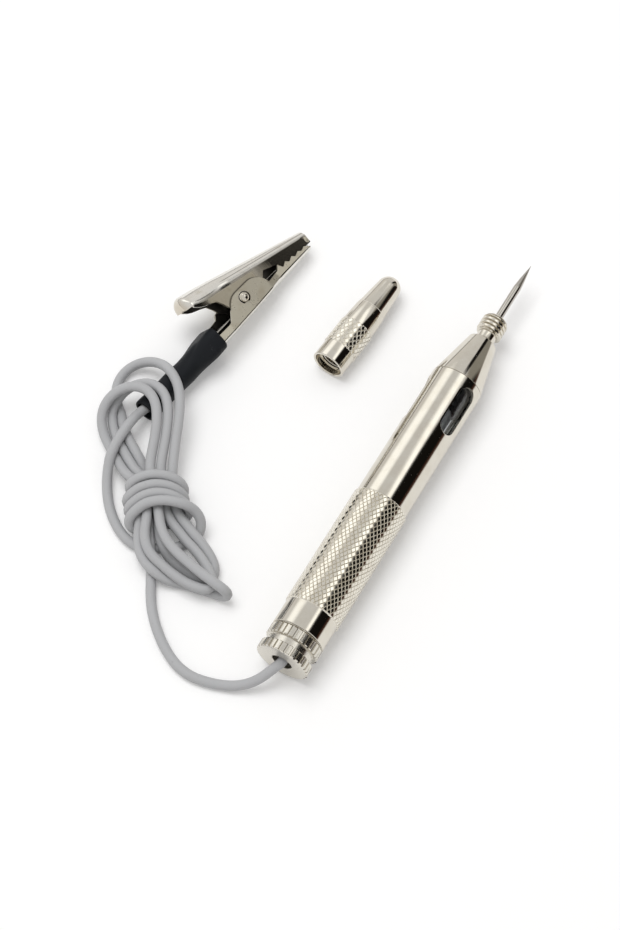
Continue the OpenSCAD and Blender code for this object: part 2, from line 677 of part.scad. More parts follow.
module clip_lower_jaw() {
    shared = [-7, 0, 7, 10.5];
    stations = concat([tail_x0], shared, [lower_nose_x]);
    inside = concat([tail_x0 - past], shared, [lower_nose_x - sheet]);
    low = -6;
    color([0.72, 0.7, 0.64]) in_clip() difference() {
        union() {
            intersection() {
                mirror([0, 1, 0]) difference() {
                    loft([for (x = stations)
                        jaw_section(x, lower_hw(x), lower_bend(x), lower_rise, low)]);
                    loft([for (x = inside)
                        jaw_section(x, lower_hw(x) - sheet, lower_bend(x), lower_rise - sheet, low - past)]);
                }
                union() {
                    linear_extrude(2 * jaw_w) polygon(near_outline);
                    mirror([0, 0, 1]) linear_extrude(2 * jaw_w) polygon(far_outline);
                }
            }
            translate([crimp_x0, crimp_y, 0]) rotate([0, 90, 0]) cylinder(r = crimp_r, h = crimp_len);
            translate([crimp_x0 + crimp_len - 1, -lower_bend(tail_x0) - 0.3, -1.2])
                cube([tail_x0 - crimp_x0 - crimp_len + 2, sheet, 2.4]);
        }
        translate([crimp_x0 - past, crimp_y, 0]) rotate([0, 90, 0])
            cylinder(r = cord_r, h = crimp_len + 2 * past);
        cylinder(r = pin_r + fit, h = 4 * jaw_w, center = true);
    }
}

module clip_rivet() {
    dome_h = 0.8;
    head_z = ear_hw;
    color([0.82, 0.81, 0.78]) in_clip() union() {
        cylinder(r = pin_r, h = 2 * head_z + 0.2, center = true);
        for (side = [0, 1]) mirror([0, 0, side]) translate([0, 0, head_z + 0.01]) rotate_extrude()
            polygon(concat([[0, 0], [rivet_head_d / 2, 0]],
                [for (a = [10:20:70]) [rivet_head_d / 2 * cos(a), 0.1 + dome_h * sin(a)]],
                [[0, 0.1 + dome_h]]));
    }
}

// Torsion spring round the rivet: each half has its turns and the leg that its jaw carries
coil_mean_r = pin_r + 0.3 + torsion_wire / 2;
coil_pitch = torsion_wire + 0.04;
half_turns = 2.5;
module spring_half(leg, leg_angle, sign) {
    steps = half_turns * 10;
    mid = 0.03 + torsion_wire / 2;
    outer = mid + coil_pitch * half_turns;
    turns = [for (i = [0:steps]) let (a = leg_angle + sign * (90 + 36 * i))
        [coil_mean_r * cos(a), coil_mean_r * sin(a), sign * lerp(outer, mid, i / steps)]];
    wire(concat([for (p = leg) [p[0], p[1], sign * outer]], turns), torsion_wire / 2, 6, [0, 0, 1]);
}

module clip_spring() {
    color([0.45, 0.44, 0.43]) in_clip()
        spring_half([[-11.7, -3.6], [-11.2, -2.2], [-10.2, -coil_mean_r]], 180, 1);
}

module clip_spring_leg() {
    color([0.45, 0.44, 0.43]) in_clip() spring_half([[-7.6, 7.2], [-6.6, 6.7]], 141, -1);
}

// Boot: an oblong front over the clip's tail that narrows to a round sleeve
function boot_line(x) = x > boot_waist[0]
    ? lerp(boot_at, boot_waist, (x - boot_at[0]) / (boot_waist[0] - boot_at[0]))
    : lerp(boot_waist, boot_end, (x - boot_waist[0]) / (boot_end[0] - boot_waist[0]));
function boot_section(x, shrink) =
    let (mid = boot_line(x), round = clamp01((boot_round_x - x) / boot_round_len),
        corner = lerp(boot_corner, boot_d / 2 + 0.05, round),
        flat_w = lerp(boot_w / 2 - boot_corner, 0, round),
        flat_h = lerp(boot_h / 2 - boot_corner, 0, round))
    [for (a = [7.5:15:352.5]) [x,
        mid[1] + sign(sin(a)) * flat_h + (corner - shrink) * sin(a),
        mid[2] + sign(cos(a)) * flat_w + (corner - shrink) * cos(a)]];
module boot_form(shrink, extra) {
    turning = [for (t = [1:-1 / 3:-0.01]) boot_round_x - t * boot_round_len];
    stations = concat([boot_x1, lerp(boot_x1, boot_waist[0], 0.5), boot_waist[0]], turning, [boot_at[0]]);
    loft([for (x = extra > 0 ? concat([boot_x1 - extra], stations, [boot_at[0] + extra]) : stations)
        boot_section(x, shrink)]);
}

module clip_boot() {
    color([0.1, 0.1, 0.11]) in_clip() difference() {
        boot_form(0, 0);
        boot_form(boot_wall, past);
    }
}

module clip_conductor() {
    color([0.72, 0.45, 0.3]) in_clip() translate([crimp_x0 + crimp_len - 0.5, crimp_y, 0])
        rotate([0, 90, 0]) cylinder(r = wire_d / 2, h = 3);
}

end_cap();
barrel();
nose_cone();
needle();
lens_tube();
front_cushion();
lamp_glass();
lamp_filament();
lamp_base();
lamp_insulator();
lamp_contact();
lamp_holder();
contact_spring();
contact_cup();
rear_insulator();
cord_stop();
cord_conductor();
cord_lead();
cord_hank();
cord_tail();
needle_cap();
clip_upper_jaw();
clip_lower_jaw();
clip_rivet();
clip_spring();
clip_spring_leg();
clip_boot();
clip_conductor();
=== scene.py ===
# Automotive circuit tester: a nickel-plated barrel with a lamp behind three windows, its needle,
# the loose needle cap, and a grey cord in a hank that ends in a spring clip
import math

import bmesh
import bpy
import numpy as np
from mathutils import Matrix, Vector, geometry, noise


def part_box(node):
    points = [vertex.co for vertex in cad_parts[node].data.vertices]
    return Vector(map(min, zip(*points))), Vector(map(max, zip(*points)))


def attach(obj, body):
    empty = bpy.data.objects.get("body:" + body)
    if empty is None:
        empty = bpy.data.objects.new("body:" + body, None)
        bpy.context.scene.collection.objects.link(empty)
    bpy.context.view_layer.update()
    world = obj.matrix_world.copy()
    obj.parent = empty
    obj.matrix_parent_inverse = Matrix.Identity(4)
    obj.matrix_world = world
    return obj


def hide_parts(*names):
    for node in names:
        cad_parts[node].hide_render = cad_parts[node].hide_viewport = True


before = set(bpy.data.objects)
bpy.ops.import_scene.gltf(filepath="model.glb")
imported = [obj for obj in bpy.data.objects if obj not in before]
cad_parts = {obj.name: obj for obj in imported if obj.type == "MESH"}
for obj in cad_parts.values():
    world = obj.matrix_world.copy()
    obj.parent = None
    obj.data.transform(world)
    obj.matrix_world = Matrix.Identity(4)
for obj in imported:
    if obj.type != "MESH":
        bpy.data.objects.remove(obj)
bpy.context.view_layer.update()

MM = 0.001

# Places of the tester in the frame: its rear face, its axis, and the table below it
rear_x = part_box("end_cap")[0][0]
barrel_low, barrel_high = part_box("barrel")
axis_y = (barrel_low[1] + barrel_high[1]) / 2
axis_height = (barrel_low[2] + barrel_high[2]) / 2
ON_TESTER = Matrix.Translation((rear_x, axis_y, axis_height))
ON_TABLE = Matrix.Translation((rear_x, axis_y, 0))
UNIT = Matrix.Scale(MM, 4)

# End cap: sizes in millimetres, along the tester from its rear face
END_RINGS = ((0.0, 2.2), (3.8, 6.2))
END_FACE_R = (3.2, 4.2, 5.0)
END_GROOVE_R = 5.2
END_RIM_R = 5.9
END_HOLE_R = 2.3
END_WALL = 1.8
RIDGES = 30
RIDGE_DEPTH = 0.35
# Shares of one ridge's step where it has corners, and where its slope starts and how wide that is
RIDGE_SHARES = (-0.5, -0.42, -0.36, -0.32, -0.27, -0.15, 0, 0.15, 0.27, 0.32, 0.36, 0.42)
RIDGE_FOOT = 0.36
RIDGE_SLOPE = 0.09

# Barrel. A knurl is given as its diamonds all round, the length of one, and the groove's share of it
BARREL_X = (6.5, 75.5)
BARREL_R = 6.0
BORE_R = 5.1
FRONT_EDGE = 0.16
KNURL_X = (12.2, 41.6)
KNURL_RISE = 0.3
BARREL_KNURL = (38, 1.5, 0.13)
WINDOW_LEN = 12.2
WINDOW_W = 4.2
WINDOW_X = 67.6
WINDOW_TURN = 46
WINDOWS = 3
LIP = 0.07
INNER_LIP = 0.04

# Nose, needle and lamp
CONE_X = (75.5, 87.6)
CONE_TIP_R = 3.4
NECK_R = 2.2
THREAD_X = (89.8, 93.8)
THREAD_R = 3.0
THREAD_DEPTH = 0.5
THREAD_RUNOUT = 0.35
PITCH = 1.0
NOSE_END = 94.6
NEEDLE_R = 0.9
NEEDLE_POINT_X = 103.8
TIP_X = 110.5
LAMP_R = 3.1
LAMP_X = (58.3, 69.3)
LAMP_DOME = 2.4
LAMP_WALL = 0.5
LENS_X = (58.3, 74.0)
LENS_R = 5.05
LENS_WALL = 0.8

# Needle cap, from its mouth
CAP_LEN = 26.6
CAP_SLEEVE_R = 3.85
CAP_BAND_R = 4.0
CAP_BAND_X = (4.2, 11.2)
CAP_KNURL = (22, 1.6, 0.15)
CAP_TAPER_END = 5.4
CAP_TIP_LEN = 2.9
CAP_TIP_R = 2.8
CAP_THREAD_X = (1.7, 6.3)
CAP_THREAD_R = 2.5
CAP_BORE = (1.4, 4)
CAP_AT = (66.9, 27.3, 4.0)
CAP_TURN = -4.7

# Cord, and the boot in the clip's axes: where its line starts, bends and ends
CORD_D = 2.2
CORD_R = CORD_D / 2
CORD_STEP = 0.8
BOOT_AT = Vector((-10.6, -2.45, 0))
BOOT_WAIST = Vector((-20.5, -3.1, -1))
BOOT_END = Vector((-33.1, -3.2, -2.6))
BOOT_FRONT_R = 3.05
BOOT_END_R = 2.7
BOOT_W = 8.5
BOOT_H = 5.8
BOOT_CORNER = 2
BOOT_WALL = 0.6
BOOT_RINGS = 60

# Clip: the rivet's middle over the table, and the roll, dip and turn of the jaws
CLIP_AT = (70.4, 52.5, 5.22)
CLIP_POSE = (30, 3, -9)
JAW_REACH = 23.0
PAD_X = -10.6
PAD_END = 2.0
PAD_FLARE = 0.7
TAIL_X = -12.5
UPPER_BEND_Y = 4.45
UPPER_TOP_Y = 7.3
LOWER_TOP_Y = -4.5
SHEET = 0.6
JAW_HALF_W = 3.15
NOSE_HALF_W = 1.7
EAR_HALF_W = 3.85
EAR_R = 4.3
EAR_AT = ((-0.6, -2.2), (3.1, -2.2))
EAR_TOP_Y = 2.1
EAR_LEAN = 0.08
BITE_Y = -1.4
BITE_LEAN = 0.16
FLANGE_LEAN = 0.05
TOOTH_X = (12.3, 20.6)
TOOTH_COUNT = 4
BITE_GAP = 0.08
CRIMP_X = (-17.6, -13.1)
CRIMP_Y = -2.8
RIVET_SEAT = 4.0
RIVET_RIM_R = 1.5
RIVET_DOME_R = 1.05
RIVET_SHANK_R = 1.0
TORSION_WIRE = 0.6
TORSION_BORE_R = 1.3

# Camera
CAMERA_AT = (-163.7, -100.6, 463.8)
CAMERA_YAW = 29.859
CAMERA_PITCH = 62.546
CAMERA_ROLL = 0.122
PHOTO_HEIGHT = 930
FOCAL_PIXELS = 2411.36
SENSOR = 36.0


def turn(degrees, axis):
    return Matrix.Rotation(math.radians(degrees), 4, axis)


def direction(bearing, elevation=0.0):
    """Unit vector at a bearing from the tester's axis and an elevation over the table"""
    a, e = math.radians(bearing), math.radians(elevation)
    return Vector((math.cos(a) * math.cos(e), math.sin(a) * math.cos(e), math.sin(e)))


def share(t):
    return min(1.0, max(0.0, t))


def smooth(t):
    return share(t) ** 2 * (3 - 2 * share(t))


def add(name, data):
    """New object in the scene"""
    made = bpy.data.objects.new(name, data)
    bpy.context.scene.collection.objects.link(made)
    return made


IN_CLIP = (ON_TABLE @ Matrix.Translation(Vector(CLIP_AT) * MM)
    @ turn(CLIP_POSE[2], "Z") @ turn(CLIP_POSE[1], "Y") @ turn(CLIP_POSE[0], "X"))
IN_NEEDLE_CAP = ON_TABLE @ Matrix.Translation(Vector(CAP_AT) * MM) @ turn(CAP_TURN, "Z")


def make_camera():
    ahead = direction(CAMERA_YAW, -CAMERA_PITCH)
    yaw = math.radians(CAMERA_YAW)
    right = Vector((math.sin(yaw), -math.cos(yaw), 0))
    up = right.cross(ahead)
    lean = Matrix.Rotation(math.radians(-CAMERA_ROLL), 3, ahead)
    right, up = lean @ right, lean @ up
    data = bpy.data.cameras.new("camera")
    data.sensor_fit = "VERTICAL"
    data.sensor_height = SENSOR
    data.lens = FOCAL_PIXELS / PHOTO_HEIGHT * SENSOR
    data.clip_start = 0.01
    camera = add("camera", data)
    camera.matrix_world = ON_TABLE @ Matrix.Translation(Vector(CAMERA_AT) * MM) @ Matrix(
        (right, up, -ahead)).transposed().to_4x4()
    bpy.context.scene.camera = camera


make_camera()


# Shader maths: a socket that takes part in Python expressions
class Socket:
    def __init__(self, tree, link):
        self.tree = tree
        self.link = link

    def _math(self, operation, a, b=0.0):
        return self.tree.node("ShaderNodeMath", {"operation": operation}, (a, b))

    def __add__(self, other):
        return self._math("ADD", self, other)

    __radd__ = __add__

    def __sub__(self, other):
        return self._math("SUBTRACT", self, other)

    def __rsub__(self, other):
        return self._math("SUBTRACT", other, self)

    def __mul__(self, other):
        return self._math("MULTIPLY", self, other)

    __rmul__ = __mul__

    def __truediv__(self, other):
        return self._math("DIVIDE", self, other)

    def __pow__(self, other):
        return self._math("POWER", self, other)

    def at_least(self, other):
        return self._math("MAXIMUM", self, other)

    def above(self, low, high):
        """0 below low, 1 above high, and smooth between them"""
        return self.tree.node("ShaderNodeMapRange", {"interpolation_type": "SMOOTHSTEP"},
            {"Value": self, "From Min": low, "From Max": high})

    def below(self, low, high):
        """1 below low, 0 above high, and smooth between them"""
        return 1 - self.above(low, high)


class Tree:
    """Nodes of one material or of the world, with one method that makes any node"""

    def __init__(self, owner):
        owner.use_nodes = True
        self.nodes = owner.node_tree.nodes
        self.links = owner.node_tree.links
        self.nodes.clear()

    def node(self, kind, settings=None, sockets=(), out=0):
        made = self.nodes.new(kind)
        for name, value in (settings or {}).items():
            setattr(made, name, value)
        pairs = sockets.items() if isinstance(sockets, dict) else enumerate(sockets)
        for key, value in pairs:
            socket = made.inputs[key]
            if isinstance(value, Socket):
                self.links.new(value.link, socket)
            elif isinstance(value, (tuple, list)) and socket.type == "RGBA":
                socket.default_value = (*value[:3], 1)
            else:
                socket.default_value = value
        return Socket(self, made.outputs[out]) if made.outputs else None

    def mix(self, amount, first, second):
        """Colour that goes from first to second"""
        return self.node("ShaderNodeMix", {"data_type": "RGBA"}, {0: amount, 6: first, 7: second}, 2)

    def place(self, scale=(1, 1, 1)):
        """Position on the piece itself, in millimetres, stretched along the axes"""
        here = self.node("ShaderNodeTexCoord", out="Object")
        return self.node("ShaderNodeVectorMath", {"operation": "MULTIPLY"},
            (here, tuple(s / MM for s in scale)))

    def along(self, matrix, axis):
        """Millimetres from the middle of some axes along one of them"""
        way = matrix.col[axis].to_3d()
        here = self.node("ShaderNodeVectorMath", {"operation": "DOT_PRODUCT"},
            (self.place(), tuple(way)), "Value")
        return here - way.dot(matrix.translation) / MM

    def grain(self, scale, detail=4, stretch=(1, 1, 1)):
        return self.node("ShaderNodeTexNoise", {}, {"Vector": self.place(stretch), "Scale": scale,
            "Detail": detail, "Roughness": 0.55})

    def specks(self, scale, size):
        """1 in small round specks and 0 between them"""
        far = self.node("ShaderNodeTexVoronoi", {}, {"Vector": self.place(), "Scale": scale})
        return far.below(size * 0.6, size)

    def bump(self, height, strength):
        return self.node("ShaderNodeBump", {}, {"Height": height, "Strength": strength,
            "Distance": 0.05 * MM})


# Finishes: each gives the sockets of one Principled shader
def coat(t, color, metallic, roughness, relief, strength):
    return {"Base Color": color, "Metallic": metallic, "Roughness": roughness,
        "Normal": t.bump(relief, strength)}


def plain(t, scale, detail, first, second, metallic, least, spread, strength, stretch=(1, 1, 1)):
    """One cloud from a first colour to a second, which also roughens and lifts the surface"""
    cloud = t.grain(scale, detail, stretch)
    return coat(t, t.mix(cloud, first, second), metallic, least + spread * cloud, cloud, strength)


def glass(t, scale, detail, first, second, ior, transmission):
    haze = t.grain(scale, detail)
    return {"Base Color": t.mix(haze, first, second), "Roughness": 0.02 + 0.05 * haze, "IOR": ior,
        "Transmission Weight": transmission}


def nickel(t):
    cloud, fine, dust = t.grain(0.35, 3), t.grain(6, 3), t.specks(1.1, 0.07)
    color = t.mix(cloud.above(0.35, 0.7), (0.70, 0.665, 0.59), (0.66, 0.62, 0.54))
    return coat(t, color, 1.0, 0.035 + 0.035 * cloud + 0.03 * fine + 0.25 * dust, fine + 2.0 * dust, 0.08)


def knurled_nickel(t):
    cloud, fine = t.grain(0.4, 3), t.grain(7, 3)
    color = t.mix(cloud.above(0.35, 0.7), (0.81, 0.775, 0.69), (0.73, 0.685, 0.60))
    return coat(t, color, 1.0, 0.045 + 0.05 * cloud + 0.03 * fine, fine, 0.06)


def knurl_groove(t):
    """Walls of the knurl's grooves: frosted by the tool, so they stay light where the tops go dark"""
    cloud = t.grain(0.8, 3)
    color = t.mix(cloud.above(0.35, 0.7), (0.87, 0.84, 0.76), (0.75, 0.71, 0.62))
    return coat(t, color, 0.6, 0.2 + 0.15 * cloud, cloud, 0.06)


def faced_nickel(t):
    rings, fine = t.grain(2.5, 4), t.grain(9, 3)
    color = t.mix(rings, (0.70, 0.67, 0.61), (0.62, 0.59, 0.52))
    return coat(t, color, 1.0, 0.13 + 0.1 * rings + 0.05 * fine, fine, 0.2)


def needle_steel(t):
    drawn = t.grain(2.0, 4, (0.15, 3, 3))
    color = t.mix(drawn.above(0.3, 0.7), (0.42, 0.40, 0.36), (0.56, 0.53, 0.49))
    return coat(t, color, 1.0, 0.08 + 0.1 * drawn, drawn, 0.06)


def clip_back(t):
    """Satin back, with a fine crease along its near edge that painted shade darkens, and a darker, browner
    pad end
    """
    cloud, rolled = t.grain(0.45, 4), t.grain(2.4, 3, (0.3, 1.5, 1.5))
    x, y, z = (t.along(IN_CLIP, axis) for axis in range(3))
    seam = z + (JAW_HALF_W - NOSE_HALF_W) / JAW_REACH * x.at_least(0.0)
    # Crease: a fine groove in the relief, along which painted shade darkens the colour
    crease = seam.above(JAW_HALF_W - 0.62, JAW_HALF_W - 0.54)
    crease = crease * seam.below(JAW_HALF_W - 0.46, JAW_HALF_W - 0.38)
    crease = crease * x.above(-2, 0) * y.above(-1, -0.6)
    # Darker, browner plating towards the pad's end
    darker_pad_end = x.below(-12.4, -10.8)
    plated = t.mix(cloud.above(0.5, 0.75), (0.80, 0.78, 0.73), (0.73, 0.70, 0.63))
    plated = t.mix(0.8 * darker_pad_end, plated, (0.58, 0.52, 0.42))
    # The near-black mixed in along the crease is painted shade
    return coat(t, t.mix(0.5 * crease, plated, (0.09, 0.08, 0.07)), 1.0,
        0.1 + 0.07 * cloud + 0.05 * rolled, 0.6 * rolled + cloud - 2 * crease, 0.05)


def clip_side(t):
    """Plain plating towards the teeth; round the rivet a rougher, less metallic plating whose darker, browner
    colour is painted shade, and a painted shadow along the ear's rim
    """
    cloud, fine = t.grain(0.6, 4), t.grain(2.5, 3)
    x, y = t.along(IN_CLIP, 0), t.along(IN_CLIP, 1)
    # Round the rivet: rougher, less metallic plating, with painted shade in its darker, browner colour
    dull_and_shaded = x.above(-7.5, -6.5) * x.below(5.5, 8.0) * (y + 0.2 * x).below(3.95, 4.25)
    rear_ear, front_ear = EAR_AT
    beyond = (rear_ear[0] - x).at_least(x - front_ear[0]).at_least(0.0)
    from_ear = (beyond * beyond + (y - rear_ear[1]) * (y - rear_ear[1])) ** 0.5
    # Painted shadow along the ear's rim
    rim = dull_and_shaded * from_ear.below(EAR_R + 0.1, EAR_R + 0.4)
    bright = t.mix(cloud.above(0.5, 0.8), (0.60, 0.57, 0.51), (0.50, 0.46, 0.40))
    shaded_dull_plating = t.mix(cloud.above(0.45, 0.75), (0.50, 0.455, 0.36), (0.42, 0.375, 0.28))
    return coat(t, t.mix(0.85 * rim, t.mix(dull_and_shaded, bright, shaded_dull_plating), (0.05, 0.045, 0.04)), 1.0 - 0.42 * dull_and_shaded,
        0.05 + 0.05 * cloud + 0.2 * dull_and_shaded + 0.04 * fine, fine + cloud, 0.03)


def clip_ear(t):
    cloud, fine = t.grain(0.6, 4), t.grain(2.5, 3)
    stain = t.grain(0.35, 4).above(0.5, 0.75)
    return coat(t, t.mix(stain, (0.52, 0.485, 0.395), (0.46, 0.415, 0.32)), 0.6,
        0.22 + 0.08 * cloud + 0.05 * fine, fine + cloud, 0.03)


def cord_jacket(t):
    cloud, fine = t.grain(0.12, 3), t.grain(5.0, 4)
    grime = t.grain(0.9, 4).above(0.62, 0.78)
    color = t.mix(0.5 * grime + 0.3 * cloud, (0.45, 0.455, 0.465), (0.37, 0.37, 0.375))
    return {**coat(t, color, 0.0, 0.42 + 0.12 * cloud + 0.1 * fine, fine + 0.5 * cloud, 0.12),
        "Specular IOR Level": 0.42}


def boot_rubber(t):
    cloud, fine = t.grain(0.25, 4), t.grain(7.0, 4)
    lint = t.specks(1.6, 0.09) * t.grain(0.5, 2).above(0.45, 0.6)
    color = t.mix(0.8 * lint, (0.010, 0.0115, 0.014), (0.16, 0.17, 0.18))
    return {**coat(t, color, 0.0, 0.38 + 0.14 * cloud + 0.15 * fine, fine + cloud, 0.25),
        "Specular IOR Level": 0.16}


# Simple finishes: the function that makes each, and its values
SIMPLE = {
    "cap_bore": (plain, 0.8, 3, (0.46, 0.43, 0.37), (0.62, 0.58, 0.51), 1.0, 0.1, 0.12, 0.1),
    # Inner faces of the clip's sheet: dull metal whose near-black colour is painted shade
    "clip_inside_painted_shade": (plain, 0.6, 4, (0.06, 0.055, 0.05), (0.14, 0.13, 0.115), 1.0, 0.3, 0.2, 0.15),
    "spring_steel": (plain, 3.0, 3, (0.5, 0.48, 0.45), (0.36, 0.34, 0.31), 1.0, 0.2, 0.12, 0.1),
    "black_plastic": (plain, 0.8, 3, (0.012, 0.012, 0.013), (0.03, 0.03, 0.032), 0.0, 0.35, 0.15, 0.1),
    "brass": (plain, 0.9, 4, (0.78, 0.60, 0.28), (0.62, 0.45, 0.2), 1.0, 0.2, 0.2, 0.1),
    "copper_strands": (plain, 6.0, 2, (0.8, 0.42, 0.24), (0.55, 0.26, 0.14), 1.0, 0.25, 0.15, 0.5,
        (0.4, 2, 2)),
    "solder": (plain, 1.5, 4, (0.6, 0.6, 0.6), (0.42, 0.42, 0.43), 1.0, 0.3, 0.25, 0.2),
    "clear_tube": (glass, 1.2, 3, (0.93, 0.95, 0.96), (0.86, 0.89, 0.9), 1.49, 1.0),
    "lamp_clear": (glass, 1.5, 2, (0.84, 0.85, 0.87), (0.72, 0.73, 0.75), 1.5, 0.5)}


def finish_of(name, build, *values):
    material = bpy.data.materials.new(name)
    tree = Tree(material)
    surface = tree.node("ShaderNodeBsdfPrincipled", {}, build(tree, *values))
    tree.node("ShaderNodeOutputMaterial", {}, {"Surface": surface})
    return material


FINISH = {build.__name__: finish_of(build.__name__, build) for build in (nickel, knurled_nickel,
    knurl_groove, faced_nickel, needle_steel, clip_back, clip_side, clip_ear, cord_jacket, boot_rubber)}
FINISH.update({name: finish_of(name, *values) for name, values in SIMPLE.items()})


# Pieces
def make_piece(name, bm, finishes, stands_for, place, smooth_below=32, body="tester"):
    """Object from a mesh in the axes of its place, smooth where its faces meet below an angle"""
    mesh = bpy.data.meshes.new(name)
    bmesh.ops.recalc_face_normals(bm, faces=bm.faces)
    bm.to_mesh(mesh)
    bm.free()
    mesh.transform(place @ UNIT)
    mesh.shade_smooth()
    mesh.set_sharp_from_angle(angle=math.radians(smooth_below))
    for finish in finishes:
        mesh.materials.append(FINISH[finish])
    made = add(name, mesh)
    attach(made, body)
    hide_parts(stands_for)
    return made


def eased(points, ease, steps=3):
    """The profile with its corners rounded; a point with a third value sets its own rounding"""
    out = []
    count = len(points)
    for i, p in enumerate(points):
        radius = p[2] if len(p) > 2 else ease
        here = Vector(p[:2])
        if i in (0, count - 1) or radius <= 0:
            out.append(tuple(here))
            continue
        back = Vector(points[i - 1][:2]) - here
        on = Vector(points[i + 1][:2]) - here
        cut = min(radius, 0.45 * back.length, 0.45 * on.length)
        start = here + back.normalized() * cut
        end = here + on.normalized() * cut
        for k in range(steps + 1):
            s = k / steps
            out.append(tuple((1 - s) ** 2 * start + 2 * s * (1 - s) * here + s * s * end))
    return out


def evenly(count, start=0.0):
    return [math.radians(start + 360 * k / count) for k in range(count)]


def arc(mid, radius, degrees):
    """Points of an arc as (x, y)"""
    return [(mid[0] + radius * math.cos(math.radians(a)), mid[1] + radius * math.sin(math.radians(a)))
        for a in degrees]


def dome(x, rise, radius, degrees, flat_r=0.0):
    """Stations of a dome that rises from its rim at x, round a flat middle"""
    return [(x + rise * math.sin(math.radians(a)), flat_r + radius * math.cos(math.radians(a)))
        for a in degrees]


def skin(bm, rings, around=True, finish=0):
    """Faces from each ring of points to the next, where a ring may be one point or open"""
    for low, high in zip(rings, rings[1:]):
        for k in range(len(low) if around else len(low) - 1):
            j = (k + 1) % len(low)
            corners = [low[k], low[j], high[j], high[k]]
            face = [v for i, v in enumerate(corners) if v not in corners[:i]]
            if len(face) > 2:
                bm.faces.new(face).material_index = finish


def lathe(bm, stations, angles, closed=False, finish=0):
    """Turned surface about X. A station is (x, radius), and radius may be a function of the angle."""
    rings = []
    for x, radius in stations:
        if not callable(radius) and radius < 1e-6:
            rings.append([bm.verts.new((x, 0, 0))] * len(angles))
            continue
        ring = []
        for a in angles:
            r = radius(a) if callable(radius) else radius
            ring.append(bm.verts.new((x, r * math.sin(a), r * math.cos(a))))
        rings.append(ring)
    skin(bm, rings + rings[:1] if closed else rings, True, finish)
    return rings


def unique(items):
    """The items in their order, each once"""
    return list(dict.fromkeys(items))


def verts_of(faces):
    return unique(v for f in faces for v in f.verts)


def knurl(bm, x0, x1, low, top, around, length, groove, tops, walls):
    """Diamonds with flat tops between two crossing sets of grooves, from x0 to x1"""
    offsets = (0, groove, 0.5, 1 - groove)
    parts = len(offsets)
    verts = {}

    def corner(p, q):
        wraps = p // (parts * around)
        p, q = p - parts * around * wraps, q - parts * around * wraps
        if (p, q) not in verts:
            u = p // parts + offsets[p % parts]
            v = q // parts + offsets[q % parts]
            angle = (u + v) * math.pi / around
            radius = low if p % parts == 0 or q % parts == 0 else top
            verts[p, q] = bm.verts.new(((u - v) / 2 * length, radius * math.sin(angle),
                radius * math.cos(angle)))
        return verts[p, q]

    faces = []
    for i in range(around):
        for j in range(math.floor(i - 2 * x1 / length) - 2, math.ceil(i - 2 * x0 / length) + 2):
            for s in range(parts):
                for t in range(parts):
                    p, q = parts * i + s, parts * j + t
                    ring = ((p, q), (p + 1, q), (p + 1, q + 1), (p, q + 1))
                    face = bm.faces.new([corner(*place) for place in ring])
                    in_groove = {s, t} & {0, parts - 1}
                    face.material_index = walls if in_groove else tops
                    faces.append(face)
    ease = top - low
    for x, outer, inner in ((x0, False, True), (x1, True, False), (x0 + ease, False, False),
            (x1 - ease, False, False)):
        edges = unique(e for f in faces for e in f.edges)
        cut = bmesh.ops.bisect_plane(bm, geom=verts_of(faces) + edges + faces, plane_co=(x, 0, 0),
            plane_no=(1, 0, 0), clear_outer=outer, clear_inner=inner, dist=1e-5)
        faces = unique([f for f in faces if f.is_valid]
            + [g for g in cut["geom"] if isinstance(g, bmesh.types.BMFace)])
    for v in verts_of(faces):
        radius = math.hypot(v.co.y, v.co.z)
        limit = low - 0.05 + 1.1 * min(v.co.x - x0, x1 - v.co.x)
        if radius > limit:
            v.co.y *= limit / radius
            v.co.z *= limit / radius


def thread(x0, x1, root, crest, steps_per_turn=16):
    """Stations of a right-hand screw thread that runs out at both ends"""
    steps = round((x1 - x0) / PITCH * steps_per_turn)

    def radius_at(x):
        fade = min(1, (x - x0) / THREAD_RUNOUT, (x1 - x) / THREAD_RUNOUT)

        def radius(angle):
            phase = (x / PITCH - angle / math.tau) % 1
            wave = share(3 * (1 - abs(2 * phase - 1)) - 0.5)
            return root + (crest - root) * (wave * max(0, fade))
        return radius
    return [(x0 + (x1 - x0) * k / steps, radius_at(x0 + (x1 - x0) * k / steps)) for k in range(steps + 1)]


def ridged(x0, x1, top, low, ease=0.16):
    """Stations of one ring of straight ridges with eased ends"""
    step = math.tau / RIDGES

    def radius(limit):
        def at(angle):
            place = abs((angle / step + 0.5) % 1 - 0.5)
            return min(limit, low + (top - low) * share((RIDGE_FOOT - place) / RIDGE_SLOPE))
        return at
    ends = ((0, 2), (0.5, 0.8), (1.4, 0))
    return ([(x0 + inset * ease, radius(top - drop * ease)) for inset, drop in ends]
        + [(x1 - inset * ease, radius(top - drop * ease)) for inset, drop in reversed(ends)])


def make_end_cap():
    step = 360 / RIDGES
    angles = [math.radians((i + s) * step) for i in range(RIDGES) for s in RIDGE_SHARES]
    low = BARREL_R - RIDGE_DEPTH
    rear, front = END_RINGS
    bore = [(END_WALL + 1.2, END_HOLE_R + 0.02), (0.12, END_HOLE_R), (0.0, END_HOLE_R + 0.12)]
    face = [(0.0, r) for r in END_FACE_R]
    foot = ((0.0, low - 0.25), (0.02, END_GROOVE_R + 0.1), (0.12, END_GROOVE_R))
    groove = [(rear[1] + x, r) for x, r in foot] + [(front[0] - x, r) for x, r in reversed(foot)]
    rim = [(front[1], low - 0.05), (front[1] + 0.05, low), (front[1] + 0.12, END_RIM_R),
        (BARREL_X[0] - 0.1, END_RIM_R), (BARREL_X[0] - 0.04, END_RIM_R - 0.06), (BARREL_X[0] - 0.04, BORE_R)]
    bm = bmesh.new()
    lathe(bm, bore + face + ridged(*rear, BARREL_R, low) + groove + ridged(*front, BARREL_R, low) + rim
        + [(END_WALL + 1.2, BORE_R)], angles, closed=True)
    make_piece("ridged_end_cap", bm, ["faced_nickel"], "end_cap", ON_TESTER, 40, "end_cap")


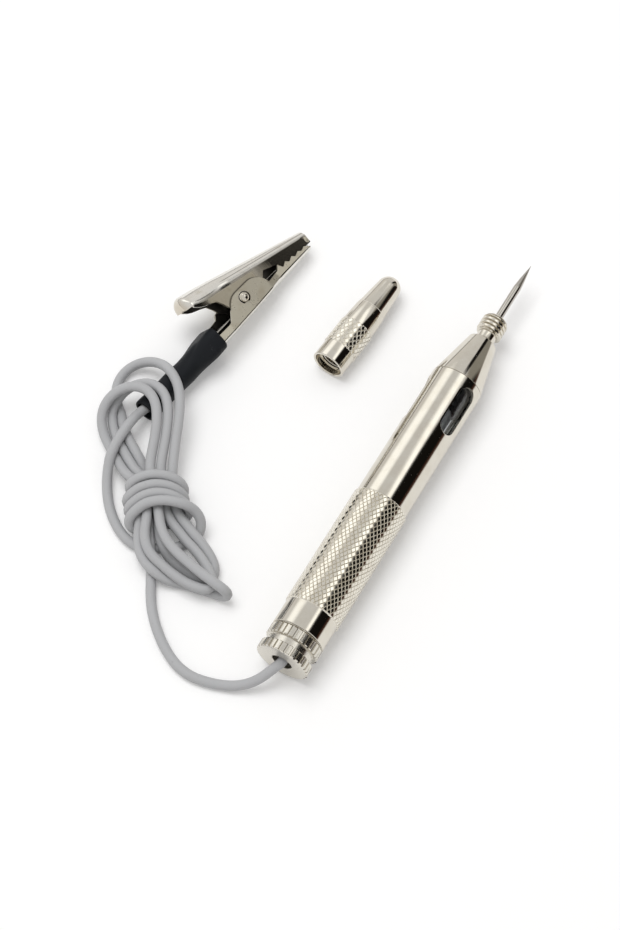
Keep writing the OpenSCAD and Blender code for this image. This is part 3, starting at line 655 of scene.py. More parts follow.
def make_barrel():
    """Tube with its knurled band, and three slots whose lips are eased"""
    bm = bmesh.new()
    margin = BARREL_X[1] - WINDOW_X - WINDOW_LEN / 2
    slot_x = (BARREL_X[1] - 2 * margin - WINDOW_LEN, BARREL_X[1] - 2 * FRONT_EDGE)
    per_window = 64
    along = 16
    angles = evenly(WINDOWS * per_window, WINDOW_TURN + 60)
    outside = eased([(BARREL_X[0], BORE_R), (BARREL_X[0], BARREL_R - 0.12), (BARREL_X[0] + 0.12, BARREL_R),
        (slot_x[0], BARREL_R)], 0.05, 2)
    lathe(bm, outside + [(slot_x[0], BORE_R)], angles, closed=True)
    for f in [f for f in bm.faces if all(abs(v.co.x - slot_x[0]) < 1e-5 for v in f.verts)]:
        bm.faces.remove(f)
    knurl(bm, *KNURL_X, BARREL_R + 0.02, BARREL_R + KNURL_RISE, *BARREL_KNURL, 1, 2)

    half_w = WINDOW_W / 2
    straight = (WINDOW_LEN - WINDOW_W) / 2

    def outline(grow):
        """Points of the slot as (x, across), starting at the front end's low corner"""
        r = half_w + grow
        front = [(straight + r * math.sin(math.pi * k / per_window), -r * math.cos(math.pi * k / per_window))
            for k in range(per_window)]
        upper = [(straight - 2 * straight * k / along, r) for k in range(along)]
        return front + upper + [(-x, -y) for x, y in front + upper]

    def frame_line(centre):
        """Points of the cell round the slot as (x, angle)"""
        half = math.pi / WINDOWS
        across = [2 * half * k / per_window for k in range(per_window)]
        back = [(slot_x[1] - slot_x[0]) * k / along for k in range(along)]
        front = [(slot_x[1], centre - half + a) for a in across]
        upper = [(slot_x[1] - x, centre + half) for x in back]
        rear = [(slot_x[0], centre + half - a) for a in across]
        return front + upper + rear + [(slot_x[0] + x, centre - half) for x in back]

    blends = [k / 14 for k in range(14)]
    rows = [(b, LIP, BARREL_R) for b in blends] + [(1, LIP, BARREL_R), (1, 0.02, BARREL_R - 0.02),
        (1, 0.0, BARREL_R - LIP), (1, 0.0, BORE_R + INNER_LIP), (1, INNER_LIP, BORE_R)]
    rows += [(b, INNER_LIP, BORE_R) for b in reversed(blends)]
    for window in range(WINDOWS):
        centre = math.radians(-(WINDOW_TURN + 360 / WINDOWS * window))
        cell = frame_line(centre)
        rings = []
        for blend, grow, radius in rows:
            ring = []
            for (cx, ca), (ox, across) in zip(cell, outline(grow)):
                angle = centre + math.asin(across / radius)
                x = cx + (WINDOW_X + ox - cx) * blend
                a = ca + (angle - ca) * blend
                ring.append(bm.verts.new((x, radius * math.sin(a), radius * math.cos(a))))
            rings.append(ring)
        skin(bm, rings)
    lathe(bm, [(slot_x[1], BARREL_R), (BARREL_X[1] - FRONT_EDGE, BARREL_R),
        (BARREL_X[1], BARREL_R - FRONT_EDGE), (BARREL_X[1], BORE_R), (slot_x[1], BORE_R)], angles)
    bmesh.ops.remove_doubles(bm, verts=bm.verts, dist=1e-4)
    finishes = ["nickel", "knurled_nickel", "knurl_groove"]
    make_piece("barrel_tube", bm, finishes, "barrel", ON_TESTER)


def make_nose():
    bm = bmesh.new()
    cone = eased([(LENS_X[1], BORE_R - 0.05), (CONE_X[0] + 0.02, BORE_R - 0.05, 0),
        (CONE_X[0] + 0.02, BARREL_R - 0.05), (CONE_X[1] - 0.3, CONE_TIP_R), (CONE_X[1], CONE_TIP_R - 0.35),
        (CONE_X[1], NECK_R, 0.15), (THREAD_X[0] - 0.05, NECK_R)], 0.08)
    turns = thread(*THREAD_X, THREAD_R - THREAD_DEPTH, THREAD_R)
    end = dome(THREAD_X[1], NOSE_END - THREAD_X[1], THREAD_R - 0.3 - NEEDLE_R, range(0, 90, 10), NEEDLE_R)
    lathe(bm, [(LENS_X[1], NEEDLE_R)] + cone + turns + end + [(NOSE_END, NEEDLE_R)], evenly(128), closed=True)
    make_piece("nose_cone_turned", bm, ["nickel"], "nose_cone", ON_TESTER)


def make_needle():
    bm = bmesh.new()
    length = TIP_X - NEEDLE_POINT_X
    point = [(NEEDLE_POINT_X + length * t, NEEDLE_R * (1 - t * (0.7 + 0.3 * t))) for t in
        [k / 16 for k in range(1, 16)]]
    lathe(bm, [(BARREL_X[1], 0), (BARREL_X[1], NEEDLE_R), (NEEDLE_POINT_X - 0.3, NEEDLE_R),
        (NEEDLE_POINT_X, NEEDLE_R)] + point + [(TIP_X - 0.04, 0.05), (TIP_X, 0)], evenly(48))
    make_piece("test_needle", bm, ["needle_steel"], "needle", ON_TESTER, 60)


def make_lamp_window():
    bm = bmesh.new()
    inner = LENS_R - LENS_WALL
    lathe(bm, eased([(LENS_X[0], inner), (LENS_X[0], LENS_R), (LENS_X[1], LENS_R), (LENS_X[1], inner)], 0.1),
        evenly(96), closed=True)
    make_piece("window_lens", bm, ["clear_tube"], "lens_tube", ON_TESTER)
    bm = bmesh.new()
    rear, front = LAMP_X
    shoulder = front - LAMP_DOME
    hollow_r, wall = LAMP_R - LAMP_WALL, 0.6
    outside = dome(shoulder, LAMP_DOME, LAMP_R, range(0, 90, 6))
    hollow = dome(shoulder, LAMP_DOME - wall, hollow_r, range(84, -1, -6))
    lathe(bm, [(rear, 0), (rear, LAMP_R)] + outside + [(front, 0)], evenly(64))
    lathe(bm, [(front - wall, 0)] + hollow + [(rear + wall, hollow_r), (rear + wall, 0)], evenly(64))
    make_piece("lamp_envelope", bm, ["lamp_clear"], "lamp_glass", ON_TESTER)


def make_needle_cap():
    bm = bmesh.new()
    low, high = CAP_BAND_X
    end_x = CAP_LEN - CAP_TIP_LEN
    tip = dome(end_x, CAP_TIP_LEN, CAP_TIP_R, range(8, 90, 6))
    step_x = high + CAP_TAPER_END
    outside = eased([(0, 3.3), (0, CAP_SLEEVE_R - 0.06, 0.06), (0.1, CAP_SLEEVE_R, 0.1),
        (low, CAP_SLEEVE_R, 0), (high, CAP_SLEEVE_R, 0), (high + 1.6, CAP_SLEEVE_R - 0.05, 0.4),
        (step_x, CAP_SLEEVE_R - 0.25, 0.03), (step_x + 0.15, CAP_SLEEVE_R - 0.36, 0.03),
        (end_x, CAP_TIP_R, 0.2)], 0.05)
    bore_r, bore_end = CAP_BORE[0], CAP_LEN - CAP_BORE[1]
    inside = [(bore_end, 0), (bore_end, bore_r), (CAP_THREAD_X[1] + 0.1, bore_r),
        (CAP_THREAD_X[1] + 0.1, CAP_THREAD_R + 0.05)]
    turns = list(reversed(thread(*CAP_THREAD_X, THREAD_R - 0.02, CAP_THREAD_R)))
    mouth = eased([(CAP_THREAD_X[0] - 0.1, CAP_THREAD_R + 0.1, 0), (CAP_THREAD_X[0] - 0.1, 3.25),
        (0.12, 3.27), (0, 3.4)], 0.06)
    lathe(bm, inside + turns + mouth[:1], evenly(112), finish=2)
    lathe(bm, mouth + outside[1:] + tip + [(CAP_LEN, 0)], evenly(112))
    bmesh.ops.remove_doubles(bm, verts=bm.verts[:], dist=1e-4)
    knurl(bm, *CAP_BAND_X, CAP_SLEEVE_R - 0.03, CAP_BAND_R + 0.02, *CAP_KNURL, 1, 3)
    finishes = ["nickel", "knurled_nickel", "cap_bore", "knurl_groove"]
    make_piece("needle_cap_sleeve", bm, finishes, "needle_cap", IN_NEEDLE_CAP)


# Cord: its route by stretches, on the table's own axes
OUT = [(6, 0, 6.3), (3, 0, 6.3), (0, 0, 6.3), (-1.4, 0.8, 5.7), (-2.9, 1.6, 4.7), (-4.5, 2.6, 3.6),
    (-5.9, 4.1, 2.4), (-7.4, 6.2, 1.5), (-8.5, 8.6, 1.1), (-9.8, 12.7, 1.1), (-10.3, 16, 1.1),
    (-9.6, 19.8, 1.1), (-7.5, 23.8, 1.1), (-4.8, 27.4, 1.1), (-1.5, 30.7, 1.1), (1.9, 33.1, 1.1)]
TALL_LOOP = [(6, 35.3, 1.1), (8.2, 36.6, 1.1), (10.4, 38.2, 1.3), (12.5, 39.8, 2.2), (15.3, 41.6, 3.2),
    (18.4, 44.1, 3.4), (21.6, 46.8, 3.4), (25.2, 50.1, 3.4), (28.1, 53.9, 3.3), (30.9, 57.7, 2.6),
    (33.8, 60.9, 1.8), (36.8, 63.4, 1.2), (39.5, 65.4, 1.1), (42.4, 66.3, 1.1), (45.2, 66, 1.3),
    (47.3, 64.3, 2.2), (48.4, 61.8, 3.6), (48.4, 58.6, 5.2), (47.1, 55.3, 6.6), (45, 52.4, 7.3),
    (42.6, 50.4, 7.5), (39.9, 48.7, 7.5), (36.6, 47.1, 7), (33.3, 45.8, 6.2), (30, 44.3, 5.6),
    (27.1, 42.9, 5.2)]
FLAT_FOLD = [(24.1, 41.5, 4.8), (21, 39.7, 4.6), (19, 37.4, 4.4), (17.8, 34.4, 4), (16.8, 31.1, 3.5),
    (15.6, 27.7, 2.8), (14.2, 24.8, 2), (12.8, 23.2, 1.4), (11.2, 22.6, 1.1), (9.5, 23.1, 1.1),
    (9.1, 24.6, 1.1), (9.3, 26.9, 1.1), (9.7, 29.9, 1.1), (10.1, 32.9, 1.1), (11.1, 35.7, 1.3),
    (12.7, 37.9, 2)]
MIDDLE_LOOP = [(15.1, 39.8, 3), (17.9, 42.5, 3.4), (21, 45.9, 3.4), (23.6, 49.5, 3.4), (25.9, 53.4, 3.2),
    (28.5, 57.2, 2.4), (31.1, 60.2, 1.7), (33.9, 62.3, 1.8), (36.1, 63, 3.2), (37.8, 62.6, 4.4),
    (39.7, 61.7, 5.4), (41.4, 60.1, 6.2), (42.4, 57.9, 6.8), (42.5, 55.4, 7.2), (40.9, 52.8, 7.5),
    (38.4, 50.7, 7.4), (35.3, 49.1, 6.8), (32, 47.7, 6.1), (28.5, 46.4, 5.6), (25.9, 45.2, 5.2)]
RAISED_FOLD = [(22.5, 43, 5), (19.8, 40.8, 4.8), (17.9, 38.2, 4.4), (16.4, 35.1, 4), (15, 31.7, 3.7),
    (13.8, 28.5, 3.4), (12.3, 25.7, 3.3), (10.7, 23.2, 3.3), (9.1, 21.3, 3.3), (7.7, 20.8, 3.3),
    (7, 22.1, 3.3), (6.8, 24.3, 3.3), (6.6, 26.9, 3.2), (6.6, 29.6, 3.3), (6.9, 32.7, 3.7),
    (7.6, 36.1, 4.4), (9.2, 38.6, 5), (11.5, 40.4, 5.4), (14.4, 41.7, 5.6), (17, 42.8, 5.6)]
FRONT_LOOP = [(19.7, 45, 5.4), (21.2, 47.7, 5), (22.1, 50.3, 4.2), (23.5, 53.5, 3), (25.6, 57, 1.8),
    (27.6, 60.2, 1.6), (29.6, 62.7, 2.4), (32, 64.1, 4), (34.5, 64.1, 5.6), (36.7, 63.2, 6.8),
    (38.6, 61.6, 7.6), (40, 59.4, 8), (40.2, 56.7, 8.1), (38.9, 54.3, 8), (36.4, 52.3, 7.8),
    (33.5, 50.7, 7.2), (30.4, 49.5, 6.4), (27.3, 48.4, 5.8), (24.4, 47, 5.4)]
FRONT_FOLD = [(21.3, 44.5, 5.6), (19.1, 41.8, 6), (16.8, 39.9, 6.2), (14.3, 38.1, 6.2), (12.2, 35.6, 6),
    (10.8, 32, 5.8), (10, 28.3, 5.6), (9.3, 24.8, 5.5), (8.8, 21.5, 5.5), (8.6, 18.7, 5.4),
    (8.8, 17.4, 4.6), (8.7, 17.3, 2.6), (8.4, 18.3, 1.4), (8.4, 20, 1.1), (8.2, 22.2, 1.1),
    (7.8, 24.5, 1.1), (7.4, 26.7, 1.1), (6.7, 28.5, 1.2), (6, 30.4, 1.8), (5.5, 32.4, 2.6),
    (5.6, 34.7, 3.3), (6.1, 36.7, 3.3), (7.1, 38.7, 3.3), (9.1, 40.5, 3.3), (11.5, 42, 3.6),
    (14.4, 43.1, 4.2)]
TO_WRAPS = [(16.4, 44.7, 4.4), (18.1, 47.4, 3.6)]
WRAPS = [(18.6, 49.2, 3.8), (19.5, 49.2, 5.2), (20.8, 48.3, 6.6), (22.3, 46.7, 7.5), (23.7, 44.5, 7.9),
    (24.7, 42.1, 7.6), (25.2, 39.8, 6.5), (25, 38, 4.8), (24.1, 37.5, 3), (22.6, 38.7, 1.5),
    (20.7, 41.9, 1.1), (18.6, 45.1, 1.1), (16.4, 46.7, 1.8), (16, 47.5, 3.2), (17.1, 47.6, 5),
    (18.5, 46.9, 6.4), (20.2, 45.1, 7.4), (21.5, 42.7, 7.9), (22.5, 40.1, 7.6), (22.9, 37.7, 6.2),
    (22.9, 36.3, 4.2), (21.9, 36.4, 2.4), (20.4, 38.4, 1.2), (18.3, 41.9, 1.1), (15.7, 44.6, 1.3),
    (13.8, 45.6, 2.2), (14.3, 46.3, 4), (15.6, 46.3, 5.6), (17.3, 45.4, 7), (19.2, 43.5, 7.9),
    (20.6, 41.1, 8.2), (21.5, 38.5, 7.6), (21.9, 36.1, 6), (21.7, 34.5, 4), (20.4, 34.6, 2.2),
    (18.5, 36.5, 1.2), (16, 40, 1.1), (13.1, 42.2, 1.2), (11.5, 43.4, 1.9), (11.9, 44.6, 3.8),
    (13.7, 44.9, 5.8), (15.8, 44.2, 7.4), (17.8, 42.3, 8.4), (19.1, 39.9, 8.8), (20.2, 37.4, 8.4),
    (21.1, 34.9, 7), (21.2, 32.6, 5.4), (20.3, 31, 3.8), (18.8, 30.5, 2.4), (16.8, 31.2, 1.4)]
TAIL = [(14, 33, 1.1), (11.6, 35.8, 1.1), (9.5, 38.5, 1.1), (9.3, 41.8, 1.1), (10.1, 45.1, 1.1),
    (12, 48.4, 1.1), (14.8, 51.6, 1.1), (18, 54.1, 1.3), (20.9, 55.7, 2.3), (23.8, 56.6, 3.7),
    (26.8, 57.1, 4.5), (30.1, 57.1, 4.9), (33.2, 57, 4.8), (36.2, 56.8, 3.9)]
IN_BOOT = [(40.4, 55.6, 3.3), (44.3, 54.7, 3.5), (48.2, 53.9, 3.8), (52.2, 53.2, 4)]
ROUTE = (OUT + TALL_LOOP + FLAT_FOLD + MIDDLE_LOOP + RAISED_FOLD + FRONT_LOOP + FRONT_FOLD + TO_WRAPS + WRAPS
    + TAIL + IN_BOOT)
# Point of the route that lies in the end cap's hole
EXIT_POINT = 2
# Lengths of the cord that its exit and the boot hold where they are
HELD_AT_EXIT = 7
HELD_AT_BOOT = 22


def smooth_line(points, step):
    """Evenly spaced points on a curve through the route's points"""
    p = [np.array(q, float) for q in points]
    p = [2 * p[0] - p[1]] + p + [2 * p[-1] - p[-2]]
    fine = []
    for a, b, c, d in zip(p, p[1:], p[2:], p[3:]):
        ta = 0.0
        tb = ta + np.linalg.norm(b - a) ** 0.5
        tc = tb + np.linalg.norm(c - b) ** 0.5
        td = tc + np.linalg.norm(d - c) ** 0.5
        for t in np.linspace(tb, tc, 12, endpoint=False):
            ab = a * ((tb - t) / (tb - ta)) + b * ((t - ta) / (tb - ta))
            bc = b * ((tc - t) / (tc - tb)) + c * ((t - tb) / (tc - tb))
            cd = c * ((td - t) / (td - tc)) + d * ((t - tc) / (td - tc))
            abc = ab * ((tc - t) / (tc - ta)) + bc * ((t - ta) / (tc - ta))
            bcd = bc * ((td - t) / (td - tb)) + cd * ((t - tb) / (td - tb))
            fine.append(abc * ((tc - t) / (tc - tb)) + bcd * ((t - tb) / (tc - tb)))
    fine.append(p[-2])
    return respaced(np.array(fine), step)


def respaced(line, step):
    lengths = np.linalg.norm(np.diff(line, axis=0), axis=1)
    along = np.concatenate(([0], np.cumsum(lengths)))
    count = max(2, round(along[-1] / step) + 1)
    marks = np.linspace(0, along[-1], count)
    return np.stack([np.interp(marks, along, line[:, i]) for i in range(3)], axis=1)


def boot_line(x):
    if x > BOOT_WAIST.x:
        return BOOT_AT.lerp(BOOT_WAIST, (x - BOOT_AT.x) / (BOOT_WAIST.x - BOOT_AT.x))
    return BOOT_WAIST.lerp(BOOT_END, (x - BOOT_WAIST.x) / (BOOT_END.x - BOOT_WAIST.x))


def settled(line, rounds=120):
    """Parts crossing strands, eases tight bends, and keeps the cord on the table and off the boot"""
    home = line.copy()
    steps = np.arange(len(line))
    spacing = np.linalg.norm(line[1] - line[0])
    apart = np.abs(steps[:, None] - steps[None, :]) * spacing > 2.2 * CORD_D
    to_table = ON_TABLE.inverted() @ IN_CLIP
    stations = np.arange(BOOT_END.x, BOOT_AT.x, 1.0)
    sleeve_at = np.array([tuple(to_table @ (boot_line(x) * MM) / MM) for x in stations])
    sleeve_r = np.where(stations > -17, BOOT_FRONT_R, BOOT_END_R) + CORD_R
    free = np.ones(len(line))
    free[:round(HELD_AT_EXIT / spacing)] = 0
    free[len(line) - round(HELD_AT_BOOT / spacing):] = 0
    for _ in range(rounds):
        gap = line[:, None, :] - line[None, :, :]
        dist = np.sqrt((gap ** 2).sum(-1)) + 1e-9
        short = np.where(apart, np.maximum(0, CORD_D * 1.01 - dist), 0)
        push = (gap / dist[..., None] * short[..., None]).sum(1)
        touching = np.maximum(1, (short > 0).sum(1))[:, None]
        move = 0.5 * push / touching ** 0.5
        off = line[:, None, :] - sleeve_at[None, :, :]
        far = np.sqrt((off ** 2).sum(-1)) + 1e-9
        nearest = far.argmin(1)
        reach = sleeve_r[nearest] - far[steps, nearest]
        move += np.where(reach > 0, reach, 0)[:, None] * off[steps, nearest] / far[steps, nearest][:, None]
        move += 0.02 * (home - line)
        line = line + move * free[:, None]
        even = line.copy()
        even[1:-1] = 0.25 * line[:-2] + 0.5 * line[1:-1] + 0.25 * line[2:]
        tight = 4 * np.linalg.norm(even - line, axis=1) * 1.1 * CORD_D / spacing ** 2
        ease = np.clip(0.15 + 0.5 * tight, 0, 1)
        ease[1:-1] = np.maximum(ease[1:-1], 0.9 * np.maximum(ease[:-2], ease[2:]))
        line = line + (ease * free)[:, None] * (even - line)
        line[:, 2] = np.where(free > 0, np.maximum(line[:, 2], CORD_R), line[:, 2])
    return line


def make_cord():
    line = respaced(settled(smooth_line(ROUTE, CORD_STEP)), CORD_STEP)
    data = bpy.data.curves.new("grey_cord", "CURVE")
    data.dimensions = "3D"
    spline = data.splines.new("POLY")
    spline.points.add(len(line) - 1)
    place = ON_TABLE @ UNIT
    points = [place @ Vector(p) for p in line]
    for point, where in zip(spline.points, points):
        point.co = (*where, 1)
    spline.use_smooth = True
    data.bevel_depth = CORD_R * MM
    data.bevel_resolution = 5
    data.use_fill_caps = True
    data.materials.append(FINISH["cord_jacket"])
    cord = add("grey_cord", data)
    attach(cord, "tester")
    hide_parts("cord_lead", "cord_hank", "cord_tail")
    length = sum((b - a).length for a, b in zip(points, points[1:]))
    print("cord length", round(length, 4))
    return cord, place @ Vector(ROUTE[EXIT_POINT]), length


def rounded_section(mid, half_h, half_w, corner, count=40):
    points = []
    for k in range(count):
        a = math.tau * (k + 0.5) / count
        y = math.copysign(half_h - corner, math.sin(a)) + corner * math.sin(a)
        z = math.copysign(half_w - corner, math.cos(a)) + corner * math.cos(a)
        points.append(Vector((0, mid.y + y, mid.z + z)))
    return points


def make_boot():
    """Soft sleeve: oblong over the tail, round behind it, with a shallow crease and thick lips"""
    bm = bmesh.new()

    def ring(x, shrink):
        mid = boot_line(x)
        rounded = smooth((-13 - x) / 6)
        corner = BOOT_CORNER + (BOOT_END_R + 0.05 - BOOT_CORNER) * rounded
        half_w = corner + (BOOT_W / 2 - BOOT_CORNER) * (1 - rounded) - shrink
        half_h = corner + (BOOT_H / 2 - BOOT_CORNER) * (1 - rounded) - shrink
        out = []
        for p in rounded_section(mid, half_h, half_w, corner - shrink):
            radial = Vector((0, p.y - mid.y, p.z - mid.z))
            angle = math.atan2(radial.y, radial.z)
            along = (x - BOOT_AT.x) / (BOOT_END.x - BOOT_AT.x)
            crease_angle = 1.2 - 1.5 * along
            crease = math.exp(-((angle - crease_angle) / 0.16) ** 2) * math.exp(-((along - 0.3) / 0.22) ** 2)
            wave = 0.1 * noise.noise(Vector((x * 0.22, p.y * 0.3, p.z * 0.3)))
            scale = 1 - (0.22 * crease - wave) / max(1, radial.length)
            out.append(bm.verts.new((x, mid.y + radial.y * scale, mid.z + radial.z * scale)))
        return out
    rear, front = BOOT_END.x, BOOT_AT.x
    middle = [(float(x), 0.0) for x in np.linspace(rear + 0.5, front - 0.5, BOOT_RINGS)]
    outer = [(rear, 0.16), (rear + 0.15, 0.04)] + middle + [(front - 0.12, 0.04), (front, 0.16)]
    rings = [ring(*station) for station in outer] + [ring(x, BOOT_WALL) for x, _ in reversed(outer)]
    skin(bm, rings + rings[:1])
    make_piece("clip_sleeve", bm, ["boot_rubber"], "clip_boot", IN_CLIP, 60)


# Clip: its sheet in the clip's own axes, from the rivet: x towards the nose, y towards the upper jaw
def taper(x):
    return JAW_HALF_W + (NOSE_HALF_W - JAW_HALF_W) * max(0, x) / JAW_REACH


def upper_half_w(x, y=0, near=1):
    """Flanges taper to the nose, flare at the thumb pad and lean in a little over the rivet"""
    lean = FLANGE_LEAN * max(0, 4.5 - 0.215 * x - y) * share((11 - x) / 4) * share((x + 8) / 3)
    return taper(x) + PAD_FLARE * smooth((-2 - x) / 8) + (lean if near > 0 else 0)


def lower_half_w(x, y=0, near=1):
    """The flat ears step out round the upper jaw, and the near side leans in a little towards its top"""
    ears = share((10.5 - x) / 3.5)
    lean = EAR_LEAN * (EAR_TOP_Y - y) * ears + BITE_LEAN * (BITE_Y - y) * (1 - ears) if near > 0 else 0
    if x > -7:
        return taper(x) + (EAR_HALF_W - JAW_HALF_W) * ears + lean
    return EAR_HALF_W - share((-7 - x) / 5.5) + lean


def upper_bend(x):
    """Height of the upper bend, which dips where the pad starts"""
    return UPPER_BEND_Y - 0.2 * x - 0.5 * smooth((-1 - x) / 5) * (1 - smooth((-7 - x) / 4))


def upper_rise(x):
    """How far the upper back's middle is above its bend; its line turns down along the pad"""
    return UPPER_TOP_Y - 0.265 * x - 0.007 * max(0, -5 - x) ** 2 - upper_bend(x)


def lower_rise(x):
    """How far the lower back's middle is below its bend"""
    return 1.3 + 0.1 * share((x - 4) / 6) - 0.5 * share((x - 12) / 11)


def lower_bend(x):
    return LOWER_TOP_Y + 0.05 * x + lower_rise(x)


def bite_edge():
    """Toothed edge where the jaws meet, from the rear tooth to the nose"""
    first, last = TOOTH_X
    pitch = (last - first) / TOOTH_COUNT
    edge = [(first, -0.2)]
    for i in range(TOOTH_COUNT):
        x, drop = first + i * pitch, -0.13 * i
        edge += [(x + 0.3 * pitch, -1.35 + drop), (x + 0.45 * pitch, -1.45 + drop),
            (x + pitch, -0.85 + 1.6 * drop)]
    return edge + [(last + 0.5, -1.9)]


def jaw_side(bm, outline, stations, bend, half_w, near, up):
    """Flat side of a jaw from its bend to its cut edge, divided at each station"""
    points = [Vector(p) for p in outline]
    ring = [list(range(len(points)))]
    edges = []
    for x in stations:
        points += [Vector((x, -9)), Vector((x, 13))]
        edges.append((len(points) - 2, len(points) - 1))
    first = len(points)
    points += [Vector((x, bend(x))) for x in stations]
    edges += [(first + i, first + i + 1) for i in range(len(stations) - 1)]
    flat, _, faces, *_ = geometry.delaunay_2d_cdt(points, edges, ring, 1, 0.0005)
    made = {}
    for face in faces:
        mid = sum((flat[i] for i in face), Vector((0, 0))) / len(face)
        if up * (mid.y - bend(mid.x)) > 0 or not stations[0] < mid.x < stations[-1]:
            continue
        for i in face:
            if i not in made:
                x, y = flat[i]
                made[i] = bm.verts.new((x, y, near * half_w(x, y, near)))
        bm.faces.new([made[i] for i in face]).material_index = 1


def back_profile(crowned=10, turned=6, edge=0.93, fall=0.66):
    """Half of a back as (across, height) shares, from its bend to its middle: a crown with a tight bend"""
    knee = 1 - fall - 2 * fall / edge * (1 - edge)
    bend = []
    for k in range(turned):
        s = k / turned
        bend.append((1 - s * s * (1 - edge), 2 * s * (1 - s) * knee + s * s * (1 - fall)))
    crown = [edge * (1 - k / crowned) for k in range(crowned + 1)]
    return bend + [(z, 1 - fall * (z / edge) ** 2) for z in crown]


def jaw_back(bm, stations, bend, rise, half_w, up):
    """Rounded back of a jaw, from one bend to the other"""
    half = back_profile()
    rings = []
    for x in stations:
        low = bend(x)
        ring = []
        for near, points in ((1, half), (-1, half[-2::-1])):
            wide = near * half_w(x, low, near)
            ring += [bm.verts.new((x, low + up * rise(x) * height, z * wide)) for z, height in points]
        rings.append(ring)
    skin(bm, rings, False)
    return rings


def pad_end(bm, ring, steps=8, closed=0.92):
    """Round end of the thumb pad, which turns down and nearly closes it"""
    wide = max(v.co.z for v in ring)
    low = ring[0].co.y
    rings = [ring]
    for i in range(1, steps + 1):
        a = math.pi / 2 * i / steps
        drop = closed * (1 - math.cos(a))
        rings.append([bm.verts.new((v.co.x - PAD_END * math.sin(a) * (1 - abs(v.co.z / wide) ** 3),
            v.co.y - drop * (v.co.y - low), v.co.z)) for v in ring])
    skin(bm, rings, False)


def end_wall(bm, x, mid_y, ease, finish):
    """Wall that closes an end of a jaw, with its corners rounded over"""
    edge = [v for v in bm.verts if abs(v.co.x - x) < 0.0001]
    edge.sort(key=lambda v: math.atan2(v.co.z, v.co.y - mid_y))
    wall = bm.faces.new(edge)
    wall.material_index = finish
    open_edge = min(wall.edges, key=lambda e: min(abs(v.co.z) for v in e.verts) < 0.01 and 9
        or -abs(e.verts[0].co.z - e.verts[1].co.z))
    rounded = [e for e in wall.edges if e is not open_edge]
    bmesh.ops.bevel(bm, geom=rounded, offset=ease, segments=4, profile=0.5, affect="EDGES",
        clamp_overlap=True)


def bent_sheet(name, bm, body, stands_for, finishes):
    """A jaw as real sheet: its faces given thickness inwards, with the cut edges eased"""
    bmesh.ops.dissolve_degenerate(bm, edges=bm.edges[:], dist=0.01)
    # The inner shell takes a finish whose near-black colour is painted shade
    made = make_piece(name, bm, finishes + ["clip_inside_painted_shade"] * 3, stands_for, IN_CLIP, 180, body)
    for face in made.data.polygons:
        face.use_smooth = face.material_index != 1
    outwards = IN_CLIP.to_3x3() @ Vector((0, 0, 1))
    near_face = max(made.data.polygons, key=lambda p: (p.center - IN_CLIP.translation) @ outwards
        if abs(p.normal @ outwards) > 0.9 else -1)
    wall = made.modifiers.new("sheet", "SOLIDIFY")
    wall.thickness = SHEET * MM
    wall.use_even_offset = True
    wall.material_offset = len(finishes)
    wall.offset = -1 if near_face.normal @ outwards > 0 else 1
    edges = made.modifiers.new("edges", "BEVEL")
    edges.width = 0.07 * MM
    edges.segments = 2
    edges.limit_method = "ANGLE"
    edges.angle_limit = math.radians(50)
    made.modifiers.new("flats", "WEIGHTED_NORMAL").keep_sharp = True


def make_upper_jaw():
    end = JAW_REACH - 0.2
    stations = [float(x) for x in np.arange(PAD_X, end - 1, 0.4)] + [end]
    pad = [(PAD_X, 6.2), (-9.6, 5.35), (-8.6, 4.8), (-6.8, 4.15), (-5.4, 3.5), (-4.6, 2), (-4.1, 0.6)]
    rear = [(PAD_X, 12)] + pad + arc((0, 0), 2.9, range(190, 351, 10))
    front = [(end, -1.9), (end, 12)]
    bm = bmesh.new()
    pad_end(bm, jaw_back(bm, stations, upper_bend, upper_rise, upper_half_w, 1)[0])
    near = rear + [(6.9, -0.2), (7.9, 0.7), (8.5, 1.2), (10.4, 0.5)] + bite_edge() + front
    jaw_side(bm, near, stations, upper_bend, upper_half_w, 1, 1)
    far = rear + [(6.6, -0.8), (7.4, -1.35)] + bite_edge()[1:] + front
    jaw_side(bm, far, stations, upper_bend, upper_half_w, -1, 1)
    bmesh.ops.remove_doubles(bm, verts=bm.verts[:], dist=0.002)
    end_wall(bm, end, -0.4, 0.6, 2)
    lug = Matrix.Translation((end - 0.55, -0.9, 1.35)) @ Matrix.Diagonal((0.65, 1.05, 0.6, 1))
    ball = bmesh.ops.create_uvsphere(bm, u_segments=20, v_segments=12, radius=1, matrix=lug)["verts"]
    for face in {f for v in ball for f in v.link_faces}:
        face.material_index = 2
    bent_sheet("upper_jaw", bm, "clip_jaw", "clip_upper_jaw", ["clip_back", "clip_side", "clip_ear"])


